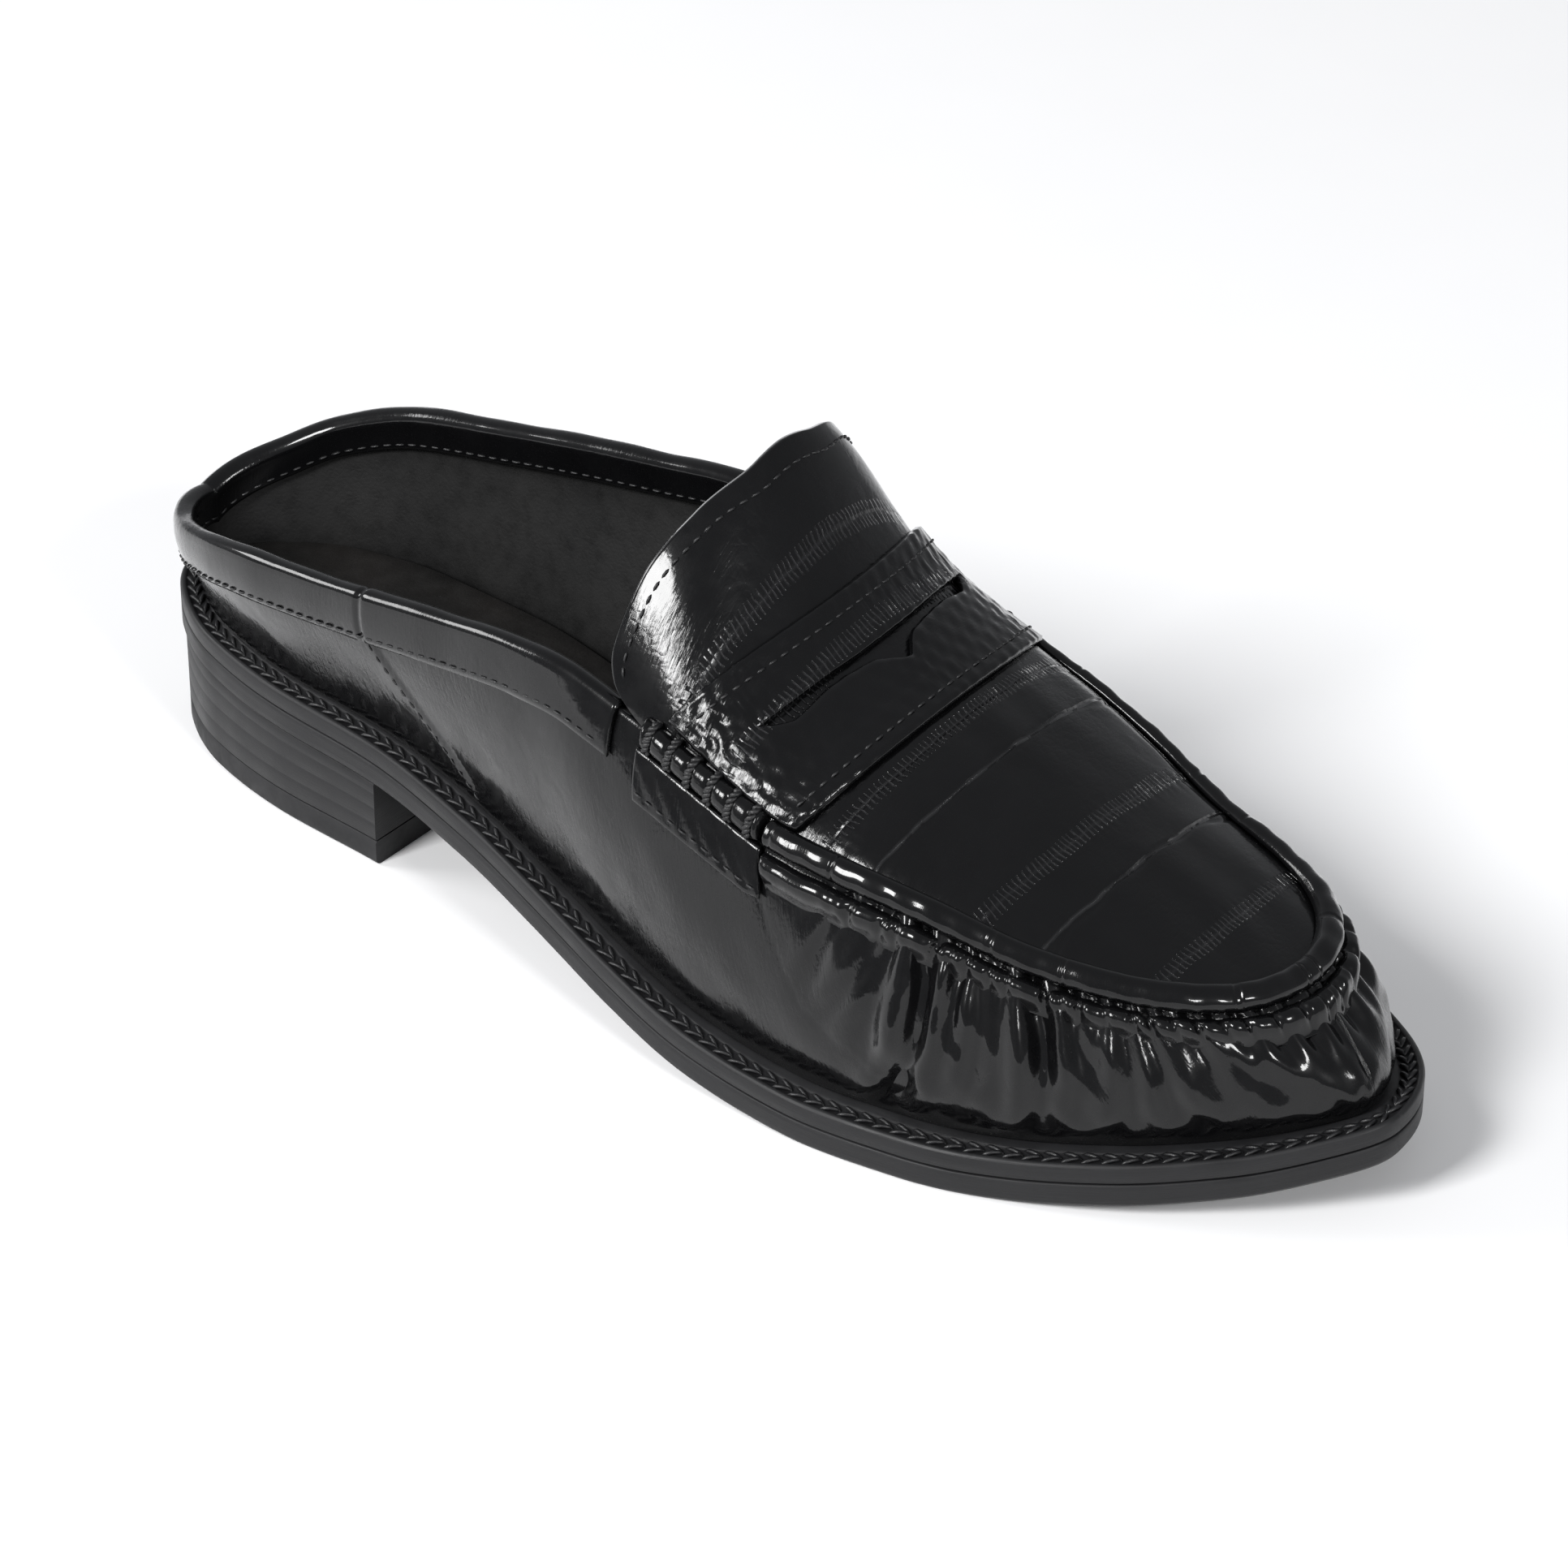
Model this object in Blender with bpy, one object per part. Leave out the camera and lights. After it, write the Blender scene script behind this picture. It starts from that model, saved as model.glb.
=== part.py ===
"""Loafer mule, the right shoe, stood on its sole. Metres, +Z up, toe toward -Y, inner side +X."""
import math

import bmesh
import bpy
import numpy as np

# Sole sizes
LENGTH = 0.270
BALL_WIDTH = 0.0900
WAIST_WIDTH = 0.0600
HEEL_WIDTH = 0.0570
HEEL_RAISE = 0.0211
TOE_SPRING = 0.0100
WELT_THICKNESS = 0.0036
OUTSOLE_THICKNESS = 0.0046
WELT_CHAMFER = 0.0008
OUTSOLE_CHAMFER = 0.0010
INSOLE_THICKNESS = 0.0025
HEEL_LENGTH = 0.0677
HEEL_INSET = 0.0006
TOP_LIFT_THICKNESS = 0.0050

# Upper sizes
UPPER_WALL = 0.0018
WELT_MARGIN = 0.0060
COUNTER_HEIGHT = 0.0138
THROAT_HEIGHT = 0.0452
TOE_HEIGHT = 0.0236
THROAT_REACH = 0.1360
INSTEP_CROWN = 0.0345
INSTEP_LEAN_SHARE = 0.233
INNER_SLACK_SHARE = 0.30
TONGUE_REACH = 0.0092
TONGUE_RISE_SHARE = 0.28
TONGUE_TUCK_SHARE = 0.07
APRON_ROUNDNESS = 1.7
FAN_START = 0.065
FAN_PULL = 0.018

# Overlay sizes
SEAM_REACH = 0.0285
ROLL_WIDTH = 0.0052
ROLL_HEIGHT = 0.0030
ROLL_END_GAP = 0.0010
ROLL_LOBES = 6
LOBE_DEPTH_SHARE = 0.12
RIDGE_WIDTH = 0.0102
RIDGE_HEIGHT = 0.0028
STRAP_THICKNESS = 0.0015
STRAP_SETBACK = 0.0160
STRAP_WIDTH = 0.0247
STRAP_BOW = 0.0130
STRAP_END_BOW = 0.0085
TAB_THICKNESS = 0.0012
TAB_WIDTH = 0.0088
BINDING_THICKNESS = 0.0009
BINDING_OUTER = 0.0085
BINDING_INNER = 0.0065
BINDING_CROWN = 0.0004
BINDING_END_GAP = 0.0055

# Clearance between neighbours
GAP = 0.0003
BINDING_CLEARANCE = 0.00045
INSOLE_CLEARANCE = 0.0009

# Mesh steps
BACK_STEPS = 25
FRONT_STEPS = 23
WALL_STEPS = 8
TONGUE_STEPS = 3
SOLE_STEPS = 34
HEEL_STEPS = 18
ROLL_STEPS = 24
STRAP_STEPS = 4
STRAP_END_DEGREES = 2.0
STRAP_COLUMN_DEGREES = 2.5

SIDES = ("lateral", "medial")
SIGN = {"lateral": -1.0, "medial": 1.0}
WIDTHS = {"heel": HEEL_WIDTH, "waist": WAIST_WIDTH, "ball": BALL_WIDTH}
HEIGHTS = {"counter": COUNTER_HEIGHT, "throat": THROAT_HEIGHT, "toe": TOE_HEIGHT}


def table(names, rows):
    """Columns by name from rows of values."""
    return dict(zip(names.split(), map(np.array, zip(*rows))))


# Edge of the sole. along is a share of LENGTH from the heel, lateral and medial are shares of the width.
OUTLINE = table("along width lateral medial", [
    (0.000, "heel", 0.000, 0.000),
    (0.030, "heel", 0.235, 0.262),
    (0.080, "heel", 0.372, 0.420),
    (0.160, "heel", 0.462, 0.505),
    (0.250, "heel", 0.500, 0.508),
    (0.340, "waist", 0.548, 0.450),
    (0.420, "waist", 0.635, 0.420),
    (0.500, "ball", 0.484, 0.308),
    (0.580, "ball", 0.527, 0.374),
    (0.660, "ball", 0.539, 0.444),
    (0.740, "ball", 0.513, 0.487),
    (0.810, "ball", 0.449, 0.483),
    (0.870, "ball", 0.362, 0.438),
    (0.930, "ball", 0.239, 0.333),
    (0.975, "ball", 0.123, 0.202),
    (1.000, "ball", 0.000, 0.000),
])

# Height of the bed above its lowest: a share of HEEL_RAISE and a share of TOE_SPRING.
BED = table("along heel toe", [
    (0.00, 1.000, 0.00),
    (0.12, 0.924, 0.00),
    (0.25, 0.844, 0.00),
    (0.35, 0.678, 0.00),
    (0.45, 0.422, 0.00),
    (0.55, 0.150, 0.00),
    (0.62, 0.035, 0.00),
    (0.68, 0.000, 0.00),
    (0.77, 0.000, 0.00),
    (0.85, 0.000, 0.15),
    (0.93, 0.000, 0.45),
    (1.00, 0.000, 1.00),
])

# Step from the edge of the sole in to the upper, as a share of WELT_MARGIN.
MARGIN = table("along share", [
    (0.00, 0.67),
    (0.15, 0.77),
    (0.35, 0.83),
    (0.60, 1.00),
    (0.85, 1.05),
    (1.00, 1.00),
])

# Top line of the wall: the collar back to front, then the seam of the apron round the toe.
# lateral and medial are shares of the width, outer and inner shares of the height over the bed.
TOP_LINE = table("along width lateral medial height outer inner", [
    (0.0093, "heel", 0.000, 0.000, "counter", 1.000, 1.000),
    (0.0333, "heel", 0.237, 0.254, "counter", 1.170, 1.420),
    (0.0681, "heel", 0.351, 0.386, "throat", 0.438, 0.553),
    (0.1259, "heel", 0.439, 0.474, "throat", 0.546, 0.673),
    (0.1981, "heel", 0.482, 0.500, "throat", 0.624, 0.761),
    (0.2548, "heel", 0.509, 0.518, "throat", 0.695, 0.832),
    (0.3333, "waist", 0.508, 0.508, "throat", 0.825, 0.953),
    (0.3926, "waist", 0.533, 0.517, "throat", 0.936, 1.058),
    (0.4481, "waist", 0.550, 0.525, "throat", 1.003, 1.124),
    (0.5037, "ball", 0.378, 0.356, "throat", 1.000, 1.117),
    (0.5593, "ball", 0.389, 0.367, "throat", 0.965, 1.064),
    (0.6185, "ball", 0.400, 0.372, "throat", 0.914, 1.009),
    (0.6704, "ball", 0.394, 0.367, "throat", 0.894, 0.938),
    (0.7296, "ball", 0.361, 0.350, "throat", 0.825, 0.825),
    (0.7852, "ball", 0.314, 0.317, "toe", 1.381, 1.373),
    (0.8481, "ball", 0.239, 0.278, "toe", 1.186, 1.199),
    (0.8889, "ball", 0.161, 0.217, "toe", 1.085, 1.097),
    (0.9111, "ball", 0.072, 0.133, "toe", 1.021, 1.030),
    (0.9185, "ball", -0.033, 0.033, "toe", 1.000, 1.000),
])

# Swell of the wall between feather and top line, as shares of its own height there.
SWELL = table("along foot_out foot_up head_out head_down", [
    (0.00, 0.03, 0.33, 0.05, 0.33),
    (0.25, 0.02, 0.40, 0.05, 0.35),
    (0.42, 0.03, 0.33, 0.06, 0.30),
    (0.50, 0.05, 0.35, 0.12, 0.27),
    (0.62, 0.06, 0.35, 0.21, 0.19),
    (0.80, 0.10, 0.40, 0.30, 0.10),
    (1.00, 0.12, 0.45, 0.38, 0.04),
])

# Crown of the apron over the line from seam to seam, as a share of INSTEP_CROWN.
CROWN = table("along share", [
    (0.474, 1.100),
    (0.500, 1.000),
    (0.537, 0.714),
    (0.574, 0.500),
    (0.611, 0.414),
    (0.648, 0.371),
    (0.685, 0.337),
    (0.730, 0.286),
    (0.785, 0.229),
    (0.848, 0.143),
    (0.889, 0.063),
    (0.9185, 0.000),
])

# Free edge of the tongue: degrees over the instep from the outer side, share of TONGUE_REACH.
TONGUE_EDGE = table("degrees reach", [
    (0, 0.00),
    (7, 0.80),
    (15, 1.00),
    (30, 0.95),
    (53, 0.53),
    (75, 0.16),
    (105, 0.11),
    (131, 0.48),
    (155, 0.85),
    (165, 0.95),
    (173, 0.76),
    (180, 0.00),
])

# Cut-out of the saddle strap: degrees over the instep, its two edges as shares of STRAP_WIDTH.
SLOT = table("degrees back front", [
    (33, 0.34, 0.34),
    (45, 0.33, 0.45),
    (60, 0.33, 0.42),
    (75, 0.34, 0.45),
    (88, 0.34, 0.58),
    (100, 0.34, 0.45),
    (120, 0.33, 0.42),
    (135, 0.33, 0.45),
    (147, 0.34, 0.34),
])

# Turns of the apron's rows from the seam to the middle of the instep.
APRON_DEGREES = (7, 16, 28, 42, 57, 73, 90)

# Sections of the raised seams: across runs up the wall and on over the apron.
ROLL_SECTION = table("across height", [
    (-0.50, 0.15),
    (-0.42, 0.70),
    (-0.15, 0.98),
    (0.15, 0.98),
    (0.42, 0.70),
    (0.50, 0.15),
])
RIDGE_SECTION = table("across height", [
    (-0.78, 0.12),
    (-0.72, 0.55),
    (-0.60, 0.80),
    (-0.46, 0.75),
    (-0.35, 0.42),
    (-0.28, 0.42),
    (-0.18, 0.90),
    (-0.02, 1.00),
    (0.12, 0.82),
    (0.20, 0.45),
    (0.22, 0.12),
])

# Colour, roughness for each material
MATERIALS = {
    "upper_leather": ((0.010, 0.010, 0.011), 0.16),
    "trim_leather": ((0.012, 0.012, 0.013), 0.20),
    "lining": ((0.016, 0.016, 0.017), 0.75),
    "sole_edge": ((0.045, 0.045, 0.048), 0.48),
    "sole_rubber": ((0.030, 0.030, 0.032), 0.60),
}

SOLE_THICKNESS = WELT_THICKNESS + GAP + OUTSOLE_THICKNESS


def smooth(xs, ys, x):
    """Monotone cubic through the rows of a table."""
    xs, ys, x = (np.asarray(values, dtype=float) for values in (xs, ys, x))
    step = np.diff(xs)
    slope = np.diff(ys) / step
    tangent = np.zeros(len(xs))
    tangent[0] = slope[0]
    tangent[-1] = slope[-1]
    before, after = slope[:-1], slope[1:]
    same = before * after > 0
    blend = 2.0 * before * after / np.where(same, before + after, 1.0)
    tangent[1:-1] = np.where(same, blend, 0.0)
    x = np.clip(x, xs[0], xs[-1])
    cell = np.clip(np.searchsorted(xs, x, side="right") - 1, 0, len(step) - 1)
    width = step[cell]
    share = (x - xs[cell]) / width
    rest = 1.0 - share
    start = ys[cell] * (1.0 + 2.0 * share) + tangent[cell] * width * share
    end = ys[cell + 1] * (1.0 + 2.0 * rest) - tangent[cell + 1] * width * rest
    return start * rest ** 2 + end * share ** 2


def turn_at(share):
    """Turn round the plan, 0 at the back and pi at the tip, for a share of the way."""
    return np.arccos(np.clip(1.0 - 2.0 * np.asarray(share, dtype=float), -1.0, 1.0))


def along_at(y):
    return 0.5 - np.asarray(y, dtype=float) / LENGTH


def half_widths(rows, side):
    return rows[side] * np.array([WIDTHS[name] for name in rows["width"]])


# The sole is as far out on one side of the origin as on the other.
CENTRE = (half_widths(OUTLINE, "lateral").max() - half_widths(OUTLINE, "medial").max()) / 2.0


def sole_edge(side, turn):
    half = smooth(turn_at(OUTLINE["along"]), half_widths(OUTLINE, side), turn)
    x = CENTRE + SIGN[side] * half
    return np.stack([x, LENGTH / 2.0 * np.cos(turn)], axis=-1)


def outward(side, turn):
    """Unit normals of the edge of the sole in plan."""
    step = 0.001
    before, after = np.maximum(turn - step, 0.0), np.minimum(turn + step, np.pi)
    tangent = sole_edge(side, after) - sole_edge(side, before)
    ends = np.sin(turn) < step
    tangent[ends, 1] = 0.0
    tangent /= np.linalg.norm(tangent, axis=-1, keepdims=True)
    return SIGN[side] * np.stack([-tangent[..., 1], tangent[..., 0]], axis=-1)


def bed_height(y):
    along = along_at(y)
    heel = smooth(BED["along"], BED["heel"], along)
    toe = smooth(BED["along"], BED["toe"], along)
    return SOLE_THICKNESS + HEEL_RAISE * heel + TOE_SPRING * toe


def inset_line(side, turn, inset, lift):
    """The edge of the sole moved in by an inset and set on the bed."""
    plan = sole_edge(side, turn) - outward(side, turn) * inset[..., None]
    return np.column_stack([plan, bed_height(plan[..., 1]) + lift])


def welt_margin(turn):
    along = (1.0 - np.cos(turn)) / 2.0
    return WELT_MARGIN * smooth(MARGIN["along"], MARGIN["share"], along)


def feather(side, turn):
    """Bottom line of the upper's outer face."""
    return inset_line(side, turn, welt_margin(turn), GAP)


TOP_BACK = TOP_LINE["along"][0]
TOP_SPAN = TOP_LINE["along"][-1] - TOP_BACK


def top_line(side, turn):
    """Collar and apron seam of one side."""
    turns = turn_at((TOP_LINE["along"] - TOP_BACK) / TOP_SPAN)
    share = TOP_LINE["outer" if side == "lateral" else "inner"]
    heights = share * np.array([HEIGHTS[name] for name in TOP_LINE["height"]])
    along = TOP_BACK + TOP_SPAN * (1.0 - np.cos(turn)) / 2.0
    y = LENGTH * (0.5 - along)
    x = CENTRE + SIGN[side] * smooth(turns, half_widths(TOP_LINE, side), turn)
    return np.stack([x, y, bed_height(y) + smooth(turns, heights, turn)], axis=-1)


def top_turn(y):
    return turn_at((along_at(y) - TOP_BACK) / TOP_SPAN)


THROAT_Y = LENGTH / 2.0 - THROAT_REACH


def seam_line(side, y):
    """Apron seam at y, run on straight and rising behind the throat."""
    line = top_line(side, top_turn(np.minimum(y, THROAT_Y)))
    behind = np.maximum(y - THROAT_Y, 0.0)
    tuck = -SIGN[side] * TONGUE_TUCK_SHARE * behind
    shift = np.stack([tuck, behind, TONGUE_RISE_SHARE * behind], axis=-1)
    return line + shift


def apron_surface(x, y):
    """Point of the apron over a place in plan between the two seams."""
    outer, inner = seam_line("lateral", y), seam_line("medial", y)
    middle = (outer[..., 0] + inner[..., 0]) / 2.0
    half = np.maximum((inner[..., 0] - outer[..., 0]) / 2.0, 1e-6)
    across = np.clip((x - middle) / half, -1.0, 1.0)
    share = (1.0 + across) / 2.0
    arch = (1.0 - np.abs(across) ** APRON_ROUNDNESS) ** (1.0 / APRON_ROUNDNESS)
    crown = INSTEP_CROWN * smooth(CROWN["along"], CROWN["share"], along_at(y))
    z = (1.0 - share) * outer[..., 2] + share * inner[..., 2] + arch * crown
    return np.stack([x + INSTEP_LEAN_SHARE * arch * crown, y, z], axis=-1)


def spine_y(y):
    """Where the ray of the apron that starts at y on the seam meets the middle."""
    past = np.maximum(-FAN_START - y, 0.0) / (LENGTH * (TOP_BACK + TOP_SPAN - 0.5) - FAN_START)
    return y + FAN_PULL * past ** 2


def apron_rays(side, y, degrees):
    """Rows of the apron from the seam at y to the middle, one for each turn over the instep."""
    start = seam_line(side, y)
    end_y = spine_y(y)
    end_x = (seam_line("lateral", end_y)[..., 0] + seam_line("medial", end_y)[..., 0]) / 2.0
    left = np.maximum(np.cos(np.radians(degrees)), 0.0) ** (2.0 / APRON_ROUNDNESS)
    x = end_x[:, None] + (start[:, None, 0] - end_x[:, None]) * left
    y = end_y[:, None] + (start[:, None, 1] - end_y[:, None]) * left
    return apron_surface(x, y)


def wall_rows(side, turn):
    """Rows of the wall from the feather to the top line, on one cubic a column."""
    foot, head = feather(side, turn), top_line(side, turn)
    normal = np.column_stack([outward(side, turn), np.zeros(len(turn))])
    height = (head - foot)[:, 2:3]
    up = np.array([0.0, 0.0, 1.0])
    along = along_at(foot[:, 1])
    slack = INNER_SLACK_SHARE * np.sin(turn) if side == "medial" else np.zeros(len(turn))

    def reach(name):
        return smooth(SWELL["along"], SWELL[name], along)[:, None] * height

    low = foot + normal * reach("foot_out") + up * reach("foot_up")
    high = head + normal * reach("head_out") * (1.0 - slack[:, None]) - up * reach("head_down")
    share = np.linspace(0.0, 1.0, WALL_STEPS + 1)[None, :, None]
    rest = 1.0 - share
    ends = rest ** 3 * foot[:, None] + share ** 3 * head[:, None]
    return ends + 3.0 * rest ** 2 * share * low[:, None] + 3.0 * rest * share ** 2 * high[:, None]


def weld(points):
    """Index of each point among the distinct ones, and the distinct ones."""
    keys = np.round(points * 1e6).astype(np.int64)
    _, first, index = np.unique(keys, axis=0, return_index=True, return_inverse=True)
    return index.reshape(-1), points[first]


def clean_face(face):
    """The face without a corner that repeats the one before."""
    kept = [corner for place, corner in enumerate(face) if corner != face[place - 1]]
    return tuple(kept) if len(kept) > 2 else None


def strip_faces(grid):
    """Quads over a grid of indices."""
    faces = []
    for row, after in zip(grid[:-1], grid[1:]):
        for place in range(len(row) - 1):
            faces.append((row[place], row[place + 1], after[place + 1], after[place]))
    return faces


def vertex_normals(points, faces):
    normals = np.zeros_like(points)
    for face in faces:
        corners = points[list(face)]
        centre = corners.mean(axis=0)
        area = np.cross(corners - centre, np.roll(corners, -1, axis=0) - centre).sum(axis=0)
        for corner in face:
            normals[corner] += area
    return normals / np.linalg.norm(normals, axis=1, keepdims=True)


def material(name):
    found = bpy.data.materials.get(name)
    if found:
        return found
    colour, roughness = MATERIALS[name]
    made = bpy.data.materials.new(name)
    made.use_nodes = True
    shader = made.node_tree.nodes["Principled BSDF"]
    shader.inputs["Base Color"].default_value = (*colour, 1.0)
    shader.inputs["Roughness"].default_value = roughness
    shader.inputs["Metallic"].default_value = 0.0
    return made


def add_object(name, points, faces, finish):
    mesh = bpy.data.meshes.new(name)
    mesh.from_pydata([tuple(point) for point in points], [], faces)
    form = bmesh.new()
    form.from_mesh(mesh)
    bmesh.ops.recalc_face_normals(form, faces=form.faces)
    form.to_mesh(mesh)
    form.free()
    mesh.materials.append(material(finish))
    mesh.shade_smooth()
    mesh.set_sharp_from_angle(angle=math.radians(35.0))
    made = bpy.data.objects.new(name, mesh)
    bpy.context.collection.objects.link(made)
    return made


def thick_sheet(name, outer, inner, faces, finish):
    """Closed solid between two copies of one sheet of faces."""
    count = len(outer)
    edges = {}
    for face in faces:
        for place, corner in enumerate(face):
            edges[(face[place - 1], corner)] = True
    rim = [edge for edge in edges if (edge[1], edge[0]) not in edges]
    solid = list(faces)
    solid += [tuple(count + corner for corner in reversed(face)) for face in faces]
    solid += [(end, start, count + start, count + end) for start, end in rim]
    points = np.concatenate([outer, inner])
    used = sorted({corner for face in solid for corner in face})
    place_of = {corner: place for place, corner in enumerate(used)}
    solid = [tuple(place_of[corner] for corner in face) for face in solid]
    return add_object(name, points[used], solid, finish)


def ring_solid(name, sections, finish):
    """Closed solid from sections of equal length, capped at both ends."""
    sections = np.asarray(sections)
    stations, corners = sections.shape[:2]
    faces = []
    for station in range(stations - 1):
        near, far = station * corners, (station + 1) * corners
        for place in range(corners):
            after = (place + 1) % corners
            faces.append((near + place, near + after, far + after, far + place))
    faces.append(tuple(reversed(range(corners))))
    faces.append(tuple((stations - 1) * corners + place for place in range(corners)))
    return add_object(name, sections.reshape(-1, 3), faces, finish)


class Skin:
    """Outer face of the upper as a grid of columns and rows for each side."""

    def __init__(self):
        throat = float(top_turn(THROAT_Y))
        back = np.linspace(0.0, throat, BACK_STEPS + 1)
        front = np.linspace(throat, np.pi, FRONT_STEPS + 1)[1:]
        self.turns = np.concatenate([back, front])
        self.throat = BACK_STEPS
        self.degrees = np.concatenate([[0.0], APRON_DEGREES])
        points, self.grids, self.tongue = [], {}, {}
        for side in SIDES:
            wall = wall_rows(side, self.turns)
            self.seam_y = top_line(side, self.turns)[:, 1]
            apron = apron_rays(side, self.seam_y[self.throat:], self.degrees[1:])
            self.grids[side, "wall"] = self.store(points, wall)
            apron = np.concatenate([wall[self.throat:, -1:], apron], axis=1)
            self.grids[side, "apron"] = self.store(points, apron)
            self.tongue[side] = self.store(points, self.tongue_rows(side))
        index, self.points = weld(np.array(points))
        for part in (self.grids, self.tongue):
            for key in part:
                part[key] = index[part[key]]
        self.faces = self.all_faces()
        self.normals = vertex_normals(self.points, self.faces)
        self.inner = self.inner_points()

    @staticmethod
    def store(points, block):
        start = len(points)
        points.extend(block.reshape(-1, 3))
        return np.arange(start, len(points)).reshape(block.shape[:2])

    def tongue_rows(self, side):
        """Rows back from the throat to the free edge, each from the seam to the middle."""
        over = self.degrees if side == "lateral" else 180.0 - self.degrees
        reach = TONGUE_REACH * smooth(TONGUE_EDGE["degrees"], TONGUE_EDGE["reach"], over)
        left = np.maximum(np.cos(np.radians(self.degrees)), 0.0) ** (2.0 / APRON_ROUNDNESS)
        rows = []
        for step in range(TONGUE_STEPS + 1):
            y = THROAT_Y + reach * step / TONGUE_STEPS
            outer, inner = seam_line("lateral", y)[:, 0], seam_line("medial", y)[:, 0]
            middle, half = (outer + inner) / 2.0, (inner - outer) / 2.0
            rows.append(apron_surface(middle + SIGN[side] * half * left, y))
        return np.array(rows)

    def all_faces(self):
        faces = []
        for side in SIDES:
            blocks = [self.grids[side, "wall"], self.grids[side, "apron"], self.tongue[side][::-1]]
            for block in blocks:
                quads = [clean_face(face) for face in strip_faces(block)]
                if side == "lateral":
                    quads = [face and tuple(reversed(face)) for face in quads]
                faces += [tuple(int(corner) for corner in face) for face in quads if face]
        return faces

    def inner_points(self):
        """Inner face of the wall, its bottom line level with the outer one on the bed."""
        inner = self.points - self.normals * UPPER_WALL
        for side in SIDES:
            bottom = self.grids[side, "wall"][:, 0]
            inner[bottom, 2] = bed_height(inner[bottom, 1]) + GAP
        return inner

    def column(self, side, place, inner=False):
        """Points and normals up the wall and over the apron at a column, which may lie between two."""
        low = int(min(np.floor(place), len(self.turns) - 2))
        share = place - low
        points = self.inner if inner else self.points
        found = []
        for column in (low, low + 1):
            index = self.grids[side, "wall"][column]
            if column >= self.throat and place >= self.throat:
                index = np.concatenate([index, self.grids[side, "apron"][column - self.throat][1:]])
            found.append((points[index], self.normals[index]))
        (near, near_normal), (far, far_normal) = found
        normal = (1.0 - share) * near_normal + share * far_normal
        normal /= np.linalg.norm(normal, axis=1, keepdims=True)
        return (1.0 - share) * near + share * far, normal

    def at_distance(self, side, place, distance, inner=False):
        """Point and normal at a distance from the top line, up and over being positive."""
        points, normals = self.column(side, place, inner)
        length = np.concatenate([[0.0], np.cumsum(np.linalg.norm(np.diff(points, axis=0), axis=1))])
        length -= length[WALL_STEPS]
        point = np.array([np.interp(distance, length, points[:, axis]) for axis in range(3)])
        normal = np.array([np.interp(distance, length, normals[:, axis]) for axis in range(3)])
        return point, normal / np.linalg.norm(normal)

    def column_at(self, y):
        """Column whose seam point has this y."""
        return float(np.interp(-y, -self.seam_y, np.arange(len(self.seam_y))))

    def apron_at(self, y, degrees):
        """Point and normal of the apron at y, so many degrees over the instep from the outer side."""
        side = "lateral" if degrees <= 90.0 else "medial"
        over = degrees if side == "lateral" else 180.0 - degrees
        points, normals = self.column(side, self.column_at(y))
        points, normals = points[WALL_STEPS:], normals[WALL_STEPS:]
        point = np.array([np.interp(over, self.degrees, points[:, axis]) for axis in range(3)])
        normal = np.array([np.interp(over, self.degrees, normals[:, axis]) for axis in range(3)])
        return point, normal / np.linalg.norm(normal)


def make_upper(skin):
    return thick_sheet("upper", skin.points, skin.inner, skin.faces, "upper_leather")


def raised_section(skin, side, place, section, width, height):
    """Closed section of a raised seam: its back on the skin, then its rounded face."""
    back, face = [], []
    for across, share in zip(section["across"], section["height"]):
        point, normal = skin.at_distance(side, place, across * width)
        back.append(point + normal * GAP)
        face.append(point + normal * (GAP + height * share))
    return back + face[::-1]


def lobe_height(share):
    """Height of the roll along its length, drawn in between the lobes."""
    valley = (1.0 + math.cos(2.0 * math.pi * ROLL_LOBES * share)) / 2.0
    return ROLL_HEIGHT * (1.0 - LOBE_DEPTH_SHARE * valley)


def make_roll(skin, side):
    """Thick rolled stretch of the seam beside the saddle strap."""
    start = skin.column_at(THROAT_Y - ROLL_END_GAP)
    end = skin.column_at(THROAT_Y - SEAM_REACH)
    sections = []
    for step in range(ROLL_STEPS + 1):
        share = step / ROLL_STEPS
        place = start + (end - start) * share
        sections.append(raised_section(skin, side, place, ROLL_SECTION, ROLL_WIDTH, lobe_height(share)))
    return ring_solid("beefroll_" + side, sections, "trim_leather")


def seam_places(skin):
    """Sides and columns of the apron seam, round the toe from outer to inner side."""
    start = skin.column_at(THROAT_Y - SEAM_REACH - ROLL_END_GAP)
    last = len(skin.turns) - 1
    inner = [start] + [float(place) for place in range(int(start) + 1, last + 1)]
    outer = [("lateral", place) for place in inner]
    return outer + [("medial", place) for place in inner[-2::-1]]


def make_seam(skin):
    sections = []
    for side, place in seam_places(skin):
        sections.append(raised_section(skin, side, place, RIDGE_SECTION, RIDGE_WIDTH, RIDGE_HEIGHT))
    return ring_solid("apron_seam", sections, "trim_leather")


def strap_y(degrees, share):
    """Place along the shoe of the strap, share 0 at its back edge and 1 at its front edge."""
    bow = 1.0 - math.sin(math.radians(degrees))
    middle = THROAT_REACH + STRAP_SETBACK
    back = middle - STRAP_BOW * bow
    front = middle + STRAP_WIDTH - STRAP_END_BOW * bow
    return LENGTH / 2.0 - (back + (front - back) * share)


def strap_ends(skin):
    """Degrees at which the strap stops short of the roll on each side."""
    clear = ROLL_WIDTH * ROLL_SECTION["across"][-1] + 2.0 * GAP
    ends = []
    for side in SIDES:
        points, _ = skin.column(side, skin.column_at(strap_y(0.0, 0.5)))
        points = points[WALL_STEPS:]
        length = np.concatenate([[0.0], np.cumsum(np.linalg.norm(np.diff(points, axis=0), axis=1))])
        ends.append(float(np.interp(clear, length, skin.degrees)))
    return ends[0], 180.0 - ends[1]


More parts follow.
